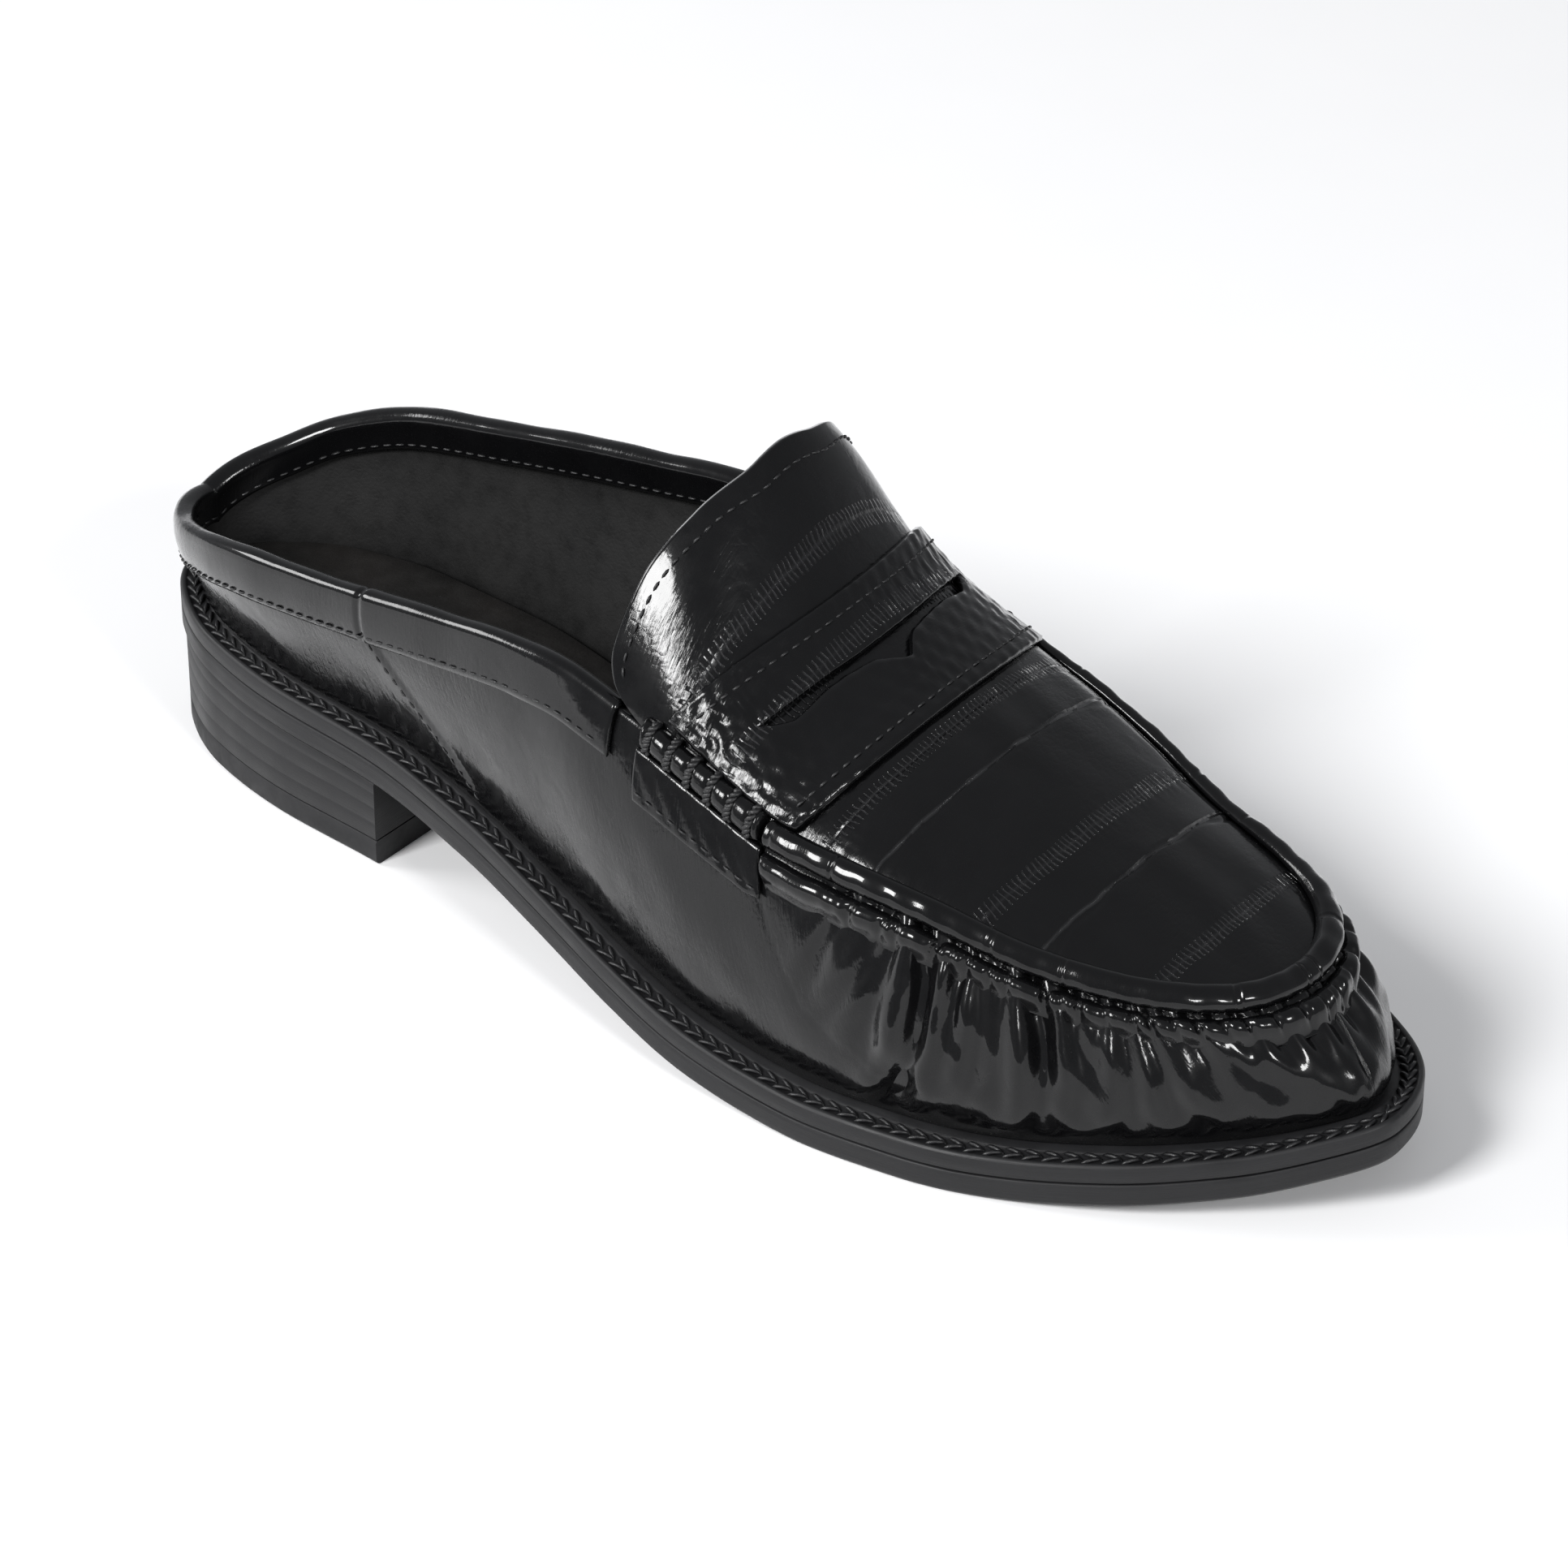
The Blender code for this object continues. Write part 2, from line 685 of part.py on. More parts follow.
def strap_columns(skin):
    start, end = strap_ends(skin)
    half = [degrees for degrees in skin.degrees if degrees < 90.0]
    marks = list(SLOT["degrees"]) + half + [180.0 - degrees for degrees in half]
    first, last = start + STRAP_END_DEGREES, end - STRAP_END_DEGREES
    inside = sorted({float(degrees) for degrees in marks if first < degrees < last})
    spaced = [start]
    for degrees in inside:
        if degrees - spaced[-1] > STRAP_COLUMN_DEGREES or degrees in SLOT["degrees"]:
            spaced.append(degrees)
    return spaced + [end]


def make_strap(skin):
    """Saddle strap over the instep with its cut-out, a sheet with a hole made thick."""
    columns = strap_columns(skin)
    outer, inner, rows_back, rows_front = [], [], [], []
    for degrees in columns:
        edges = [float(smooth(SLOT["degrees"], SLOT[name], degrees)) for name in ("back", "front")]
        shares = [edges[0] * step / STRAP_STEPS for step in range(STRAP_STEPS + 1)]
        shares += [edges[1] + (1.0 - edges[1]) * step / STRAP_STEPS for step in range(STRAP_STEPS + 1)]
        start = len(outer)
        for share in shares:
            point, normal = skin.apron_at(strap_y(degrees, share), degrees)
            inner.append(point + normal * GAP)
            outer.append(point + normal * (GAP + STRAP_THICKNESS))
        rows_back.append(list(range(start, start + STRAP_STEPS + 1)))
        rows_front.append(list(range(start + STRAP_STEPS + 1, start + 2 * STRAP_STEPS + 2)))
        closed = degrees <= SLOT["degrees"][0] or degrees >= SLOT["degrees"][-1]
        if closed:
            rows_front[-1][0] = rows_back[-1][-1]
    faces = strip_faces(rows_back) + strip_faces(rows_front)
    return thick_sheet("saddle_strap", np.array(outer), np.array(inner), faces, "trim_leather")


def make_tab(skin, side):
    """Strip on the wall under the roll."""
    start, end = skin.column_at(THROAT_Y - ROLL_END_GAP), skin.column_at(THROAT_Y - SEAM_REACH)
    whole = [float(place) for place in range(int(start) + 1, int(end) + 1)]
    top = ROLL_WIDTH / 2.0 + 2.0 * GAP
    outer, inner, rows = [], [], []
    for place in [start] + whole + [end]:
        row = []
        low = top + TAB_WIDTH
        for share in np.linspace(0.0, 1.0, 5):
            point, normal = skin.at_distance(side, place, -(low + (top - low) * share))
            row.append(len(outer))
            inner.append(point + normal * GAP)
            outer.append(point + normal * (GAP + TAB_THICKNESS))
        rows.append(row)
    faces = strip_faces(rows)
    return thick_sheet("side_tab_" + side, np.array(outer), np.array(inner), faces, "trim_leather")


def binding_section(skin, side, place):
    """Closed section that folds over the collar edge, from its outer foot to its inner foot."""
    near, far = BINDING_CLEARANCE, BINDING_CLEARANCE + BINDING_THICKNESS
    head, normal = skin.at_distance(side, place, 0.0)
    below, _ = skin.at_distance(side, place, -BINDING_OUTER / 4.0)
    up = (head - below) / np.linalg.norm(head - below)
    inside = head - normal * UPPER_WALL
    half = BINDING_OUTER / 2.0
    outer = [skin.at_distance(side, place, -drop) for drop in (BINDING_OUTER, half)]
    lining = []
    for drop in (BINDING_INNER, BINDING_INNER / 2.0):
        point, turned = skin.at_distance(side, place, -drop)
        lining.append((point - turned * UPPER_WALL, turned))
    section = [point + turned * far for point, turned in outer]
    section.append(head + normal * far + up * near)
    section.append(head - normal * UPPER_WALL / 2.0 + up * (far + BINDING_CROWN))
    section.append(inside - normal * far + up * near)
    section += [point - turned * far for point, turned in reversed(lining)]
    section += [point - turned * near for point, turned in lining]
    section.append(inside - normal * near + up * near)
    section.append(head + normal * near + up * near)
    section += [point + turned * near for point, turned in reversed(outer)]
    return section


def make_binding(skin):
    """Folded binding of the collar from throat to throat round the heel."""
    end = skin.column_at(THROAT_Y + BINDING_END_GAP)
    places = [float(place) for place in range(1, int(end) + 1)] + [end]
    sections = [binding_section(skin, "lateral", place) for place in reversed(places)]
    sections.append(binding_section(skin, "lateral", 0.0))
    sections += [binding_section(skin, "medial", place) for place in places]
    return ring_solid("collar_binding", sections, "trim_leather")


def plate(name, rings, finish):
    """Closed solid from rings, each a pair of lines from back to front, bottom ring first."""
    points, loops, ladders = [], [], []
    for outer, inner in rings:
        start = len(points)
        points.extend(outer)
        points.extend(inner)
        count = len(outer)
        lateral = list(range(start, start + count))
        medial = list(range(start + count, start + 2 * count))
        loops.append(lateral + medial[::-1])
        ladders.append((lateral, medial))
    faces = []
    for low, high in zip(loops[:-1], loops[1:]):
        for place in range(len(low)):
            faces.append((low[place - 1], low[place], high[place], high[place - 1]))
    bottom = strip_faces(list(zip(*ladders[0])))
    top = strip_faces(list(zip(*ladders[-1])))
    faces += [tuple(reversed(face)) for face in top]
    faces += bottom
    index, points = weld(np.array(points))
    faces = [clean_face([int(index[corner]) for corner in face]) for face in faces]
    return add_object(name, points, [face for face in faces if face], finish)


def plan_ring(turns, inset, height):
    """A pair of edge lines at an inset, with the height worked out from y."""
    lines = []
    for side in SIDES:
        plan = sole_edge(side, turns) - outward(side, turns) * inset
        lines.append(np.column_stack([plan, height(plan[:, 1])]))
    return lines


def make_welt():
    turns = np.linspace(0.0, np.pi, SOLE_STEPS + 1)
    levels = [(WELT_CHAMFER / 2.0, -WELT_THICKNESS), (0.0, WELT_CHAMFER / 2.0 - WELT_THICKNESS)]
    levels += [(0.0, -WELT_CHAMFER), (WELT_CHAMFER, 0.0)]
    rings = [plan_ring(turns, inset, lambda y, drop=drop: bed_height(y) + drop) for inset, drop in levels]
    return plate("welt", rings, "sole_edge")


def make_outsole():
    turns = np.linspace(0.0, np.pi, SOLE_STEPS + 1)
    top = OUTSOLE_THICKNESS
    levels = [(OUTSOLE_CHAMFER, 0.0), (0.0, OUTSOLE_CHAMFER)]
    levels += [(0.0, top - OUTSOLE_CHAMFER / 2.0), (OUTSOLE_CHAMFER / 2.0, top)]
    rings = []
    for inset, rise in levels:
        rings.append(plan_ring(turns, inset, lambda y, rise=rise: bed_height(y) - SOLE_THICKNESS + rise))
    return plate("outsole", rings, "sole_rubber")


def heel_turns():
    return np.linspace(0.0, float(turn_at(HEEL_LENGTH / LENGTH)), HEEL_STEPS + 1)


def make_heel_block():
    turns = heel_turns()
    low = plan_ring(turns, HEEL_INSET, lambda y: np.full(len(y), TOP_LIFT_THICKNESS + GAP))
    high = plan_ring(turns, HEEL_INSET, lambda y: bed_height(y) - SOLE_THICKNESS - GAP)
    return plate("heel_block", [low, high], "sole_edge")


def make_top_lift():
    turns = heel_turns()
    levels = [(HEEL_INSET + OUTSOLE_CHAMFER / 2.0, 0.0), (HEEL_INSET, OUTSOLE_CHAMFER / 2.0)]
    levels.append((HEEL_INSET, TOP_LIFT_THICKNESS))
    rings = [plan_ring(turns, inset, lambda y, z=z: np.full(len(y), z)) for inset, z in levels]
    return plate("heel_top_lift", rings, "sole_rubber")


def make_insole():
    turns = np.linspace(0.0, np.pi, SOLE_STEPS + 1)
    rings = []
    for lift in (GAP, GAP + INSOLE_THICKNESS):
        lines = []
        for side in SIDES:
            inset = welt_margin(turns) + UPPER_WALL + INSOLE_CLEARANCE
            lines.append(inset_line(side, turns, inset, lift))
        rings.append(lines)
    return plate("insole", rings, "lining")


def build():
    for old in list(bpy.data.objects):
        bpy.data.objects.remove(old, do_unlink=True)
    skin = Skin()
    make_upper(skin)
    make_seam(skin)
    for side in SIDES:
        make_roll(skin, side)
        make_tab(skin, side)
    make_strap(skin)
    make_binding(skin)
    make_insole()
    make_welt()
    make_outsole()
    make_heel_block()
    make_top_lift()


build()
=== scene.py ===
"""Looks of the loafer mule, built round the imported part. Metres, +Z up, toe toward -Y, the right shoe."""
import math

import bmesh
import bpy
import numpy as np
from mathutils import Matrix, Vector


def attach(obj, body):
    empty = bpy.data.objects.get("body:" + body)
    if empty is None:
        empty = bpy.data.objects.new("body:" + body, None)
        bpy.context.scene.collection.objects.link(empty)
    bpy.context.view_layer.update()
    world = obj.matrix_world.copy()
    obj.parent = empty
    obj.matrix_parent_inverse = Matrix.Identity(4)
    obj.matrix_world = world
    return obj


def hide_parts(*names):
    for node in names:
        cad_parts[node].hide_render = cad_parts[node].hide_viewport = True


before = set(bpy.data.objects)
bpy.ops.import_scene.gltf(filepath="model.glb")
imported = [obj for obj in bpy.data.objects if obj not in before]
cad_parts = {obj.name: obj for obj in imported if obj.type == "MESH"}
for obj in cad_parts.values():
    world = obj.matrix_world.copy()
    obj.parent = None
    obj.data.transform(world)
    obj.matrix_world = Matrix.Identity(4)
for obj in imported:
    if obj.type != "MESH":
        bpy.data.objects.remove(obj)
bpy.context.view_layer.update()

# Sole sizes
LENGTH = 0.270
BALL_WIDTH = 0.0900
WAIST_WIDTH = 0.0600
HEEL_WIDTH = 0.0570
HEEL_RAISE = 0.0211
TOE_SPRING = 0.0100
WELT_THICKNESS = 0.0036
OUTSOLE_THICKNESS = 0.0046
WELT_CHAMFER = 0.0008
OUTSOLE_CHAMFER = 0.0010
INSOLE_THICKNESS = 0.0025
HEEL_LENGTH = 0.0677
HEEL_INSET = 0.0006
TOP_LIFT_THICKNESS = 0.0050

# Upper sizes
UPPER_WALL = 0.0018
WELT_MARGIN = 0.0060
COUNTER_HEIGHT = 0.0138
THROAT_HEIGHT = 0.0452
TOE_HEIGHT = 0.0236
THROAT_REACH = 0.1360
INSTEP_CROWN = 0.0345
INSTEP_LEAN_SHARE = 0.233
INNER_SLACK_SHARE = 0.30
TONGUE_REACH = 0.0092
TONGUE_RISE_SHARE = 0.28
TONGUE_TUCK_SHARE = 0.07
APRON_ROUNDNESS = 1.7
FAN_START = 0.065
FAN_PULL = 0.018

# Overlay sizes
SEAM_REACH = 0.0285
ROLL_WIDTH = 0.0052
ROLL_HEIGHT = 0.0030
ROLL_END_GAP = 0.0010
ROLL_LOBES = 6
LOBE_DEPTH_SHARE = 0.12
RIDGE_WIDTH = 0.0102
RIDGE_HEIGHT = 0.0028
STRAP_THICKNESS = 0.0015
STRAP_SETBACK = 0.0160
STRAP_WIDTH = 0.0247
STRAP_BOW = 0.0130
STRAP_END_BOW = 0.0085
TAB_THICKNESS = 0.0012
TAB_WIDTH = 0.0088
BINDING_THICKNESS = 0.0009
BINDING_OUTER = 0.0085
BINDING_INNER = 0.0065
BINDING_CROWN = 0.0004
BINDING_END_GAP = 0.0055

# Clearance between neighbours
GAP = 0.0003
BINDING_CLEARANCE = 0.00045
INSOLE_CLEARANCE = 0.0009

# Mesh steps
BACK_STEPS = 200
FRONT_STEPS = 240
WALL_STEPS = 50
APRON_STEPS = 64
TONGUE_STEPS = 16
SOLE_STEPS = 220
HEEL_STEPS = 110

# Layers of the upper
LEATHER = 0.0010
LINING = 0.0006

# Creases of the toe
PLEAT_DEPTH = 0.0016
PLEAT_WIDTH = 0.0017
PUFF = 0.0012

# Sewing
THREAD = 0.00030
STITCH_PITCH = 0.0030
STITCH_LENGTH = 0.0023
WRAP_THREAD = 0.00046
WELT_STITCH = 0.0034

SIDES = ("lateral", "medial")
SIGN = {"lateral": -1.0, "medial": 1.0}
WIDTHS = {"heel": HEEL_WIDTH, "waist": WAIST_WIDTH, "ball": BALL_WIDTH}
HEIGHTS = {"counter": COUNTER_HEIGHT, "throat": THROAT_HEIGHT, "toe": TOE_HEIGHT}


def table(names, rows):
    """Columns by name from rows of values."""
    return dict(zip(names.split(), map(np.array, zip(*rows))))


# Edge of the sole. along is a share of LENGTH from the heel, lateral and medial are shares of the width.
OUTLINE = table("along width lateral medial", [
    (0.000, "heel", 0.000, 0.000),
    (0.030, "heel", 0.235, 0.262),
    (0.080, "heel", 0.372, 0.420),
    (0.160, "heel", 0.462, 0.505),
    (0.250, "heel", 0.500, 0.508),
    (0.340, "waist", 0.548, 0.450),
    (0.420, "waist", 0.635, 0.420),
    (0.500, "ball", 0.484, 0.308),
    (0.580, "ball", 0.527, 0.374),
    (0.660, "ball", 0.539, 0.444),
    (0.740, "ball", 0.513, 0.487),
    (0.810, "ball", 0.449, 0.483),
    (0.870, "ball", 0.362, 0.438),
    (0.930, "ball", 0.239, 0.333),
    (0.975, "ball", 0.123, 0.202),
    (1.000, "ball", 0.000, 0.000),
])

# Height of the bed above its lowest: a share of HEEL_RAISE and a share of TOE_SPRING.
BED = table("along heel toe", [
    (0.00, 1.000, 0.00),
    (0.12, 0.924, 0.00),
    (0.25, 0.844, 0.00),
    (0.35, 0.678, 0.00),
    (0.45, 0.422, 0.00),
    (0.55, 0.150, 0.00),
    (0.62, 0.035, 0.00),
    (0.68, 0.000, 0.00),
    (0.77, 0.000, 0.00),
    (0.85, 0.000, 0.15),
    (0.93, 0.000, 0.45),
    (1.00, 0.000, 1.00),
])

# Step from the edge of the sole in to the upper, as a share of WELT_MARGIN.
MARGIN = table("along share", [
    (0.00, 0.67),
    (0.15, 0.77),
    (0.35, 0.83),
    (0.60, 1.00),
    (0.85, 1.05),
    (1.00, 1.00),
])

# Top line of the wall: the collar back to front, then the seam of the apron round the toe.
# lateral and medial are shares of the width, outer and inner shares of the height over the bed.
TOP_LINE = table("along width lateral medial height outer inner", [
    (0.0093, "heel", 0.000, 0.000, "counter", 1.000, 1.000),
    (0.0333, "heel", 0.237, 0.254, "counter", 1.170, 1.420),
    (0.0681, "heel", 0.351, 0.386, "throat", 0.438, 0.553),
    (0.1259, "heel", 0.439, 0.474, "throat", 0.546, 0.673),
    (0.1981, "heel", 0.482, 0.500, "throat", 0.624, 0.761),
    (0.2548, "heel", 0.509, 0.518, "throat", 0.695, 0.832),
    (0.3333, "waist", 0.508, 0.508, "throat", 0.825, 0.953),
    (0.3926, "waist", 0.533, 0.517, "throat", 0.936, 1.058),
    (0.4481, "waist", 0.550, 0.525, "throat", 1.003, 1.124),
    (0.5037, "ball", 0.378, 0.356, "throat", 1.000, 1.117),
    (0.5593, "ball", 0.389, 0.367, "throat", 0.965, 1.064),
    (0.6185, "ball", 0.400, 0.372, "throat", 0.914, 1.009),
    (0.6704, "ball", 0.394, 0.367, "throat", 0.894, 0.938),
    (0.7296, "ball", 0.361, 0.350, "throat", 0.825, 0.825),
    (0.7852, "ball", 0.314, 0.317, "toe", 1.381, 1.373),
    (0.8481, "ball", 0.239, 0.278, "toe", 1.186, 1.199),
    (0.8889, "ball", 0.161, 0.217, "toe", 1.085, 1.097),
    (0.9111, "ball", 0.072, 0.133, "toe", 1.021, 1.030),
    (0.9185, "ball", -0.033, 0.033, "toe", 1.000, 1.000),
])

# Swell of the wall between feather and top line, as shares of its own height there.
SWELL = table("along foot_out foot_up head_out head_down", [
    (0.00, 0.03, 0.33, 0.05, 0.33),
    (0.25, 0.02, 0.40, 0.05, 0.35),
    (0.42, 0.03, 0.33, 0.06, 0.30),
    (0.50, 0.05, 0.35, 0.12, 0.27),
    (0.62, 0.09, 0.32, 0.15, 0.26),
    (0.80, 0.17, 0.30, 0.15, 0.26),
    (1.00, 0.21, 0.32, 0.19, 0.22),
])

# Crown of the apron over the line from seam to seam, as a share of INSTEP_CROWN.
CROWN = table("along share", [
    (0.474, 1.100),
    (0.500, 1.000),
    (0.537, 0.714),
    (0.574, 0.500),
    (0.611, 0.414),
    (0.648, 0.371),
    (0.685, 0.337),
    (0.730, 0.286),
    (0.785, 0.229),
    (0.848, 0.143),
    (0.889, 0.063),
    (0.9185, 0.000),
])

# Free edge of the tongue: degrees over the instep from the outer side, share of TONGUE_REACH.
TONGUE_EDGE = table("degrees reach", [
    (0, 0.00),
    (7, 0.80),
    (15, 1.00),
    (30, 0.95),
    (53, 0.53),
    (75, 0.16),
    (105, 0.11),
    (131, 0.48),
    (155, 0.85),
    (165, 0.95),
    (173, 0.76),
    (180, 0.00),
])

# Cut-out of the saddle strap: degrees over the instep, its two edges as shares of STRAP_WIDTH.
SLOT = table("degrees back front", [
    (33, 0.34, 0.34),
    (45, 0.33, 0.45),
    (60, 0.33, 0.42),
    (75, 0.34, 0.45),
    (88, 0.34, 0.58),
    (100, 0.34, 0.45),
    (120, 0.33, 0.42),
    (135, 0.33, 0.45),
    (147, 0.34, 0.34),
])

SOLE_THICKNESS = WELT_THICKNESS + GAP + OUTSOLE_THICKNESS


def smooth(xs, ys, x):
    """Monotone cubic through the rows of a table."""
    xs, ys, x = (np.asarray(values, dtype=float) for values in (xs, ys, x))
    step = np.diff(xs)
    slope = np.diff(ys) / step
    tangent = np.zeros(len(xs))
    tangent[0] = slope[0]
    tangent[-1] = slope[-1]
    before, after = slope[:-1], slope[1:]
    same = before * after > 0
    blend = 2.0 * before * after / np.where(same, before + after, 1.0)
    tangent[1:-1] = np.where(same, blend, 0.0)
    x = np.clip(x, xs[0], xs[-1])
    cell = np.clip(np.searchsorted(xs, x, side="right") - 1, 0, len(step) - 1)
    width = step[cell]
    share = (x - xs[cell]) / width
    rest = 1.0 - share
    start = ys[cell] * (1.0 + 2.0 * share) + tangent[cell] * width * share
    end = ys[cell + 1] * (1.0 + 2.0 * rest) - tangent[cell + 1] * width * rest
    return start * rest ** 2 + end * share ** 2


def turn_at(share):
    """Turn round the plan, 0 at the back and pi at the tip, for a share of the way."""
    return np.arccos(np.clip(1.0 - 2.0 * np.asarray(share, dtype=float), -1.0, 1.0))


def along_at(y):
    return 0.5 - np.asarray(y, dtype=float) / LENGTH


def half_widths(rows, side):
    return rows[side] * np.array([WIDTHS[name] for name in rows["width"]])


# The sole is as far out on one side of the origin as on the other.
CENTRE = (half_widths(OUTLINE, "lateral").max() - half_widths(OUTLINE, "medial").max()) / 2.0


def sole_edge(side, turn):
    half = smooth(turn_at(OUTLINE["along"]), half_widths(OUTLINE, side), turn)
    x = CENTRE + SIGN[side] * half
    return np.stack([x, LENGTH / 2.0 * np.cos(turn)], axis=-1)


def outward(side, turn):
    """Unit normals of the edge of the sole in plan."""
    step = 0.001
    before, after = np.maximum(turn - step, 0.0), np.minimum(turn + step, np.pi)
    tangent = sole_edge(side, after) - sole_edge(side, before)
    ends = np.sin(turn) < step
    tangent[ends, 1] = 0.0
    tangent /= np.linalg.norm(tangent, axis=-1, keepdims=True)
    return SIGN[side] * np.stack([-tangent[..., 1], tangent[..., 0]], axis=-1)


def bed_height(y):
    along = along_at(y)
    heel = smooth(BED["along"], BED["heel"], along)
    toe = smooth(BED["along"], BED["toe"], along)
    return SOLE_THICKNESS + HEEL_RAISE * heel + TOE_SPRING * toe


def inset_line(side, turn, inset, lift):
    """The edge of the sole moved in by an inset and set on the bed."""
    plan = sole_edge(side, turn) - outward(side, turn) * inset[..., None]
    return np.column_stack([plan, bed_height(plan[..., 1]) + lift])


def welt_margin(turn):
    along = (1.0 - np.cos(turn)) / 2.0
    return WELT_MARGIN * smooth(MARGIN["along"], MARGIN["share"], along)


def feather(side, turn):
    """Bottom line of the upper's outer face."""
    return inset_line(side, turn, welt_margin(turn), GAP)


TOP_BACK = TOP_LINE["along"][0]
TOP_SPAN = TOP_LINE["along"][-1] - TOP_BACK


def top_line(side, turn):
    """Collar and apron seam of one side."""
    turns = turn_at((TOP_LINE["along"] - TOP_BACK) / TOP_SPAN)
    share = TOP_LINE["outer" if side == "lateral" else "inner"]
    heights = share * np.array([HEIGHTS[name] for name in TOP_LINE["height"]])
    along = TOP_BACK + TOP_SPAN * (1.0 - np.cos(turn)) / 2.0
    y = LENGTH * (0.5 - along)
    x = CENTRE + SIGN[side] * smooth(turns, half_widths(TOP_LINE, side), turn)
    return np.stack([x, y, bed_height(y) + smooth(turns, heights, turn)], axis=-1)


def top_turn(y):
    return turn_at((along_at(y) - TOP_BACK) / TOP_SPAN)


THROAT_Y = LENGTH / 2.0 - THROAT_REACH


def seam_line(side, y):
    """Apron seam at y, run on straight and rising behind the throat."""
    line = top_line(side, top_turn(np.minimum(y, THROAT_Y)))
    behind = np.maximum(y - THROAT_Y, 0.0)
    tuck = -SIGN[side] * TONGUE_TUCK_SHARE * behind
    shift = np.stack([tuck, behind, TONGUE_RISE_SHARE * behind], axis=-1)
    return line + shift


def apron_surface(x, y):
    """Point of the apron over a place in plan between the two seams."""
    outer, inner = seam_line("lateral", y), seam_line("medial", y)
    middle = (outer[..., 0] + inner[..., 0]) / 2.0
    half = np.maximum((inner[..., 0] - outer[..., 0]) / 2.0, 1e-6)
    across = np.clip((x - middle) / half, -1.0, 1.0)
    share = (1.0 + across) / 2.0
    arch = (1.0 - np.abs(across) ** APRON_ROUNDNESS) ** (1.0 / APRON_ROUNDNESS)
    crown = INSTEP_CROWN * smooth(CROWN["along"], CROWN["share"], along_at(y))
    z = (1.0 - share) * outer[..., 2] + share * inner[..., 2] + arch * crown
    return np.stack([x + INSTEP_LEAN_SHARE * arch * crown, y, z], axis=-1)


def spine_y(y):
    """Where the ray of the apron that starts at y on the seam meets the middle."""
    past = np.maximum(-FAN_START - y, 0.0) / (LENGTH * (TOP_BACK + TOP_SPAN - 0.5) - FAN_START)
    return y + FAN_PULL * past ** 2


def apron_rays(side, y, degrees):
    """Rows of the apron from the seam at y to the middle, one for each turn over the instep."""
    start = seam_line(side, y)
    end_y = spine_y(y)
    end_x = (seam_line("lateral", end_y)[..., 0] + seam_line("medial", end_y)[..., 0]) / 2.0
    left = np.maximum(np.cos(np.radians(degrees)), 0.0) ** (2.0 / APRON_ROUNDNESS)
    x = end_x[:, None] + (start[:, None, 0] - end_x[:, None]) * left
    y = end_y[:, None] + (start[:, None, 1] - end_y[:, None]) * left
    return apron_surface(x, y)


def wall_rows(side, turn):
    """Rows of the wall from the feather to the top line, on one cubic a column."""
    foot, head = feather(side, turn), top_line(side, turn)
    normal = np.column_stack([outward(side, turn), np.zeros(len(turn))])
    height = (head - foot)[:, 2:3]
    up = np.array([0.0, 0.0, 1.0])
    along = along_at(foot[:, 1])
    slack = INNER_SLACK_SHARE * np.sin(turn) if side == "medial" else np.zeros(len(turn))

    def reach(name):
        return smooth(SWELL["along"], SWELL[name], along)[:, None] * height

    low = foot + normal * reach("foot_out") + up * reach("foot_up")
    high = head + normal * reach("head_out") * (1.0 - slack[:, None]) - up * reach("head_down")
    share = np.linspace(0.0, 1.0, WALL_STEPS + 1)[None, :, None]
    rest = 1.0 - share
    ends = rest ** 3 * foot[:, None] + share ** 3 * head[:, None]
    return ends + 3.0 * rest ** 2 * share * low[:, None] + 3.0 * rest * share ** 2 * high[:, None]


def weld(points):
    """Index of each point among the distinct ones, and the distinct ones."""
    keys = np.round(points * 1e6).astype(np.int64)
    _, first, index = np.unique(keys, axis=0, return_index=True, return_inverse=True)
    return index.reshape(-1), points[first]


def clean_face(face):
    """The face without a corner that repeats the one before."""
    kept = [corner for place, corner in enumerate(face) if corner != face[place - 1]]
    return tuple(kept) if len(kept) > 2 else None


def strip_faces(grid):
    """Quads over a grid of indices."""
    faces = []
    for row, after in zip(grid[:-1], grid[1:]):
        for place in range(len(row) - 1):
            faces.append((row[place], row[place + 1], after[place + 1], after[place]))
    return faces


def rib(value, width):
    """Soft bump of height 1 round 0."""
    return np.exp(-(np.asarray(value, dtype=float) / width) ** 2)


def ramp(value, start, end):
    """Smooth step from 0 at start to 1 at end."""
    share = np.clip((np.asarray(value, dtype=float) - start) / (end - start), 0.0, 1.0)
    return share * share * (3.0 - 2.0 * share)


def unit(vectors):
    return vectors / np.maximum(np.linalg.norm(vectors, axis=-1, keepdims=True), 1e-12)


def run_length(points):
    """Length along the last but one axis of the points."""
    steps = np.linalg.norm(np.diff(points, axis=-2), axis=-1)
    start = np.zeros(steps.shape[:-1] + (1,))
    return np.concatenate([start, np.cumsum(steps, axis=-1)], axis=-1)


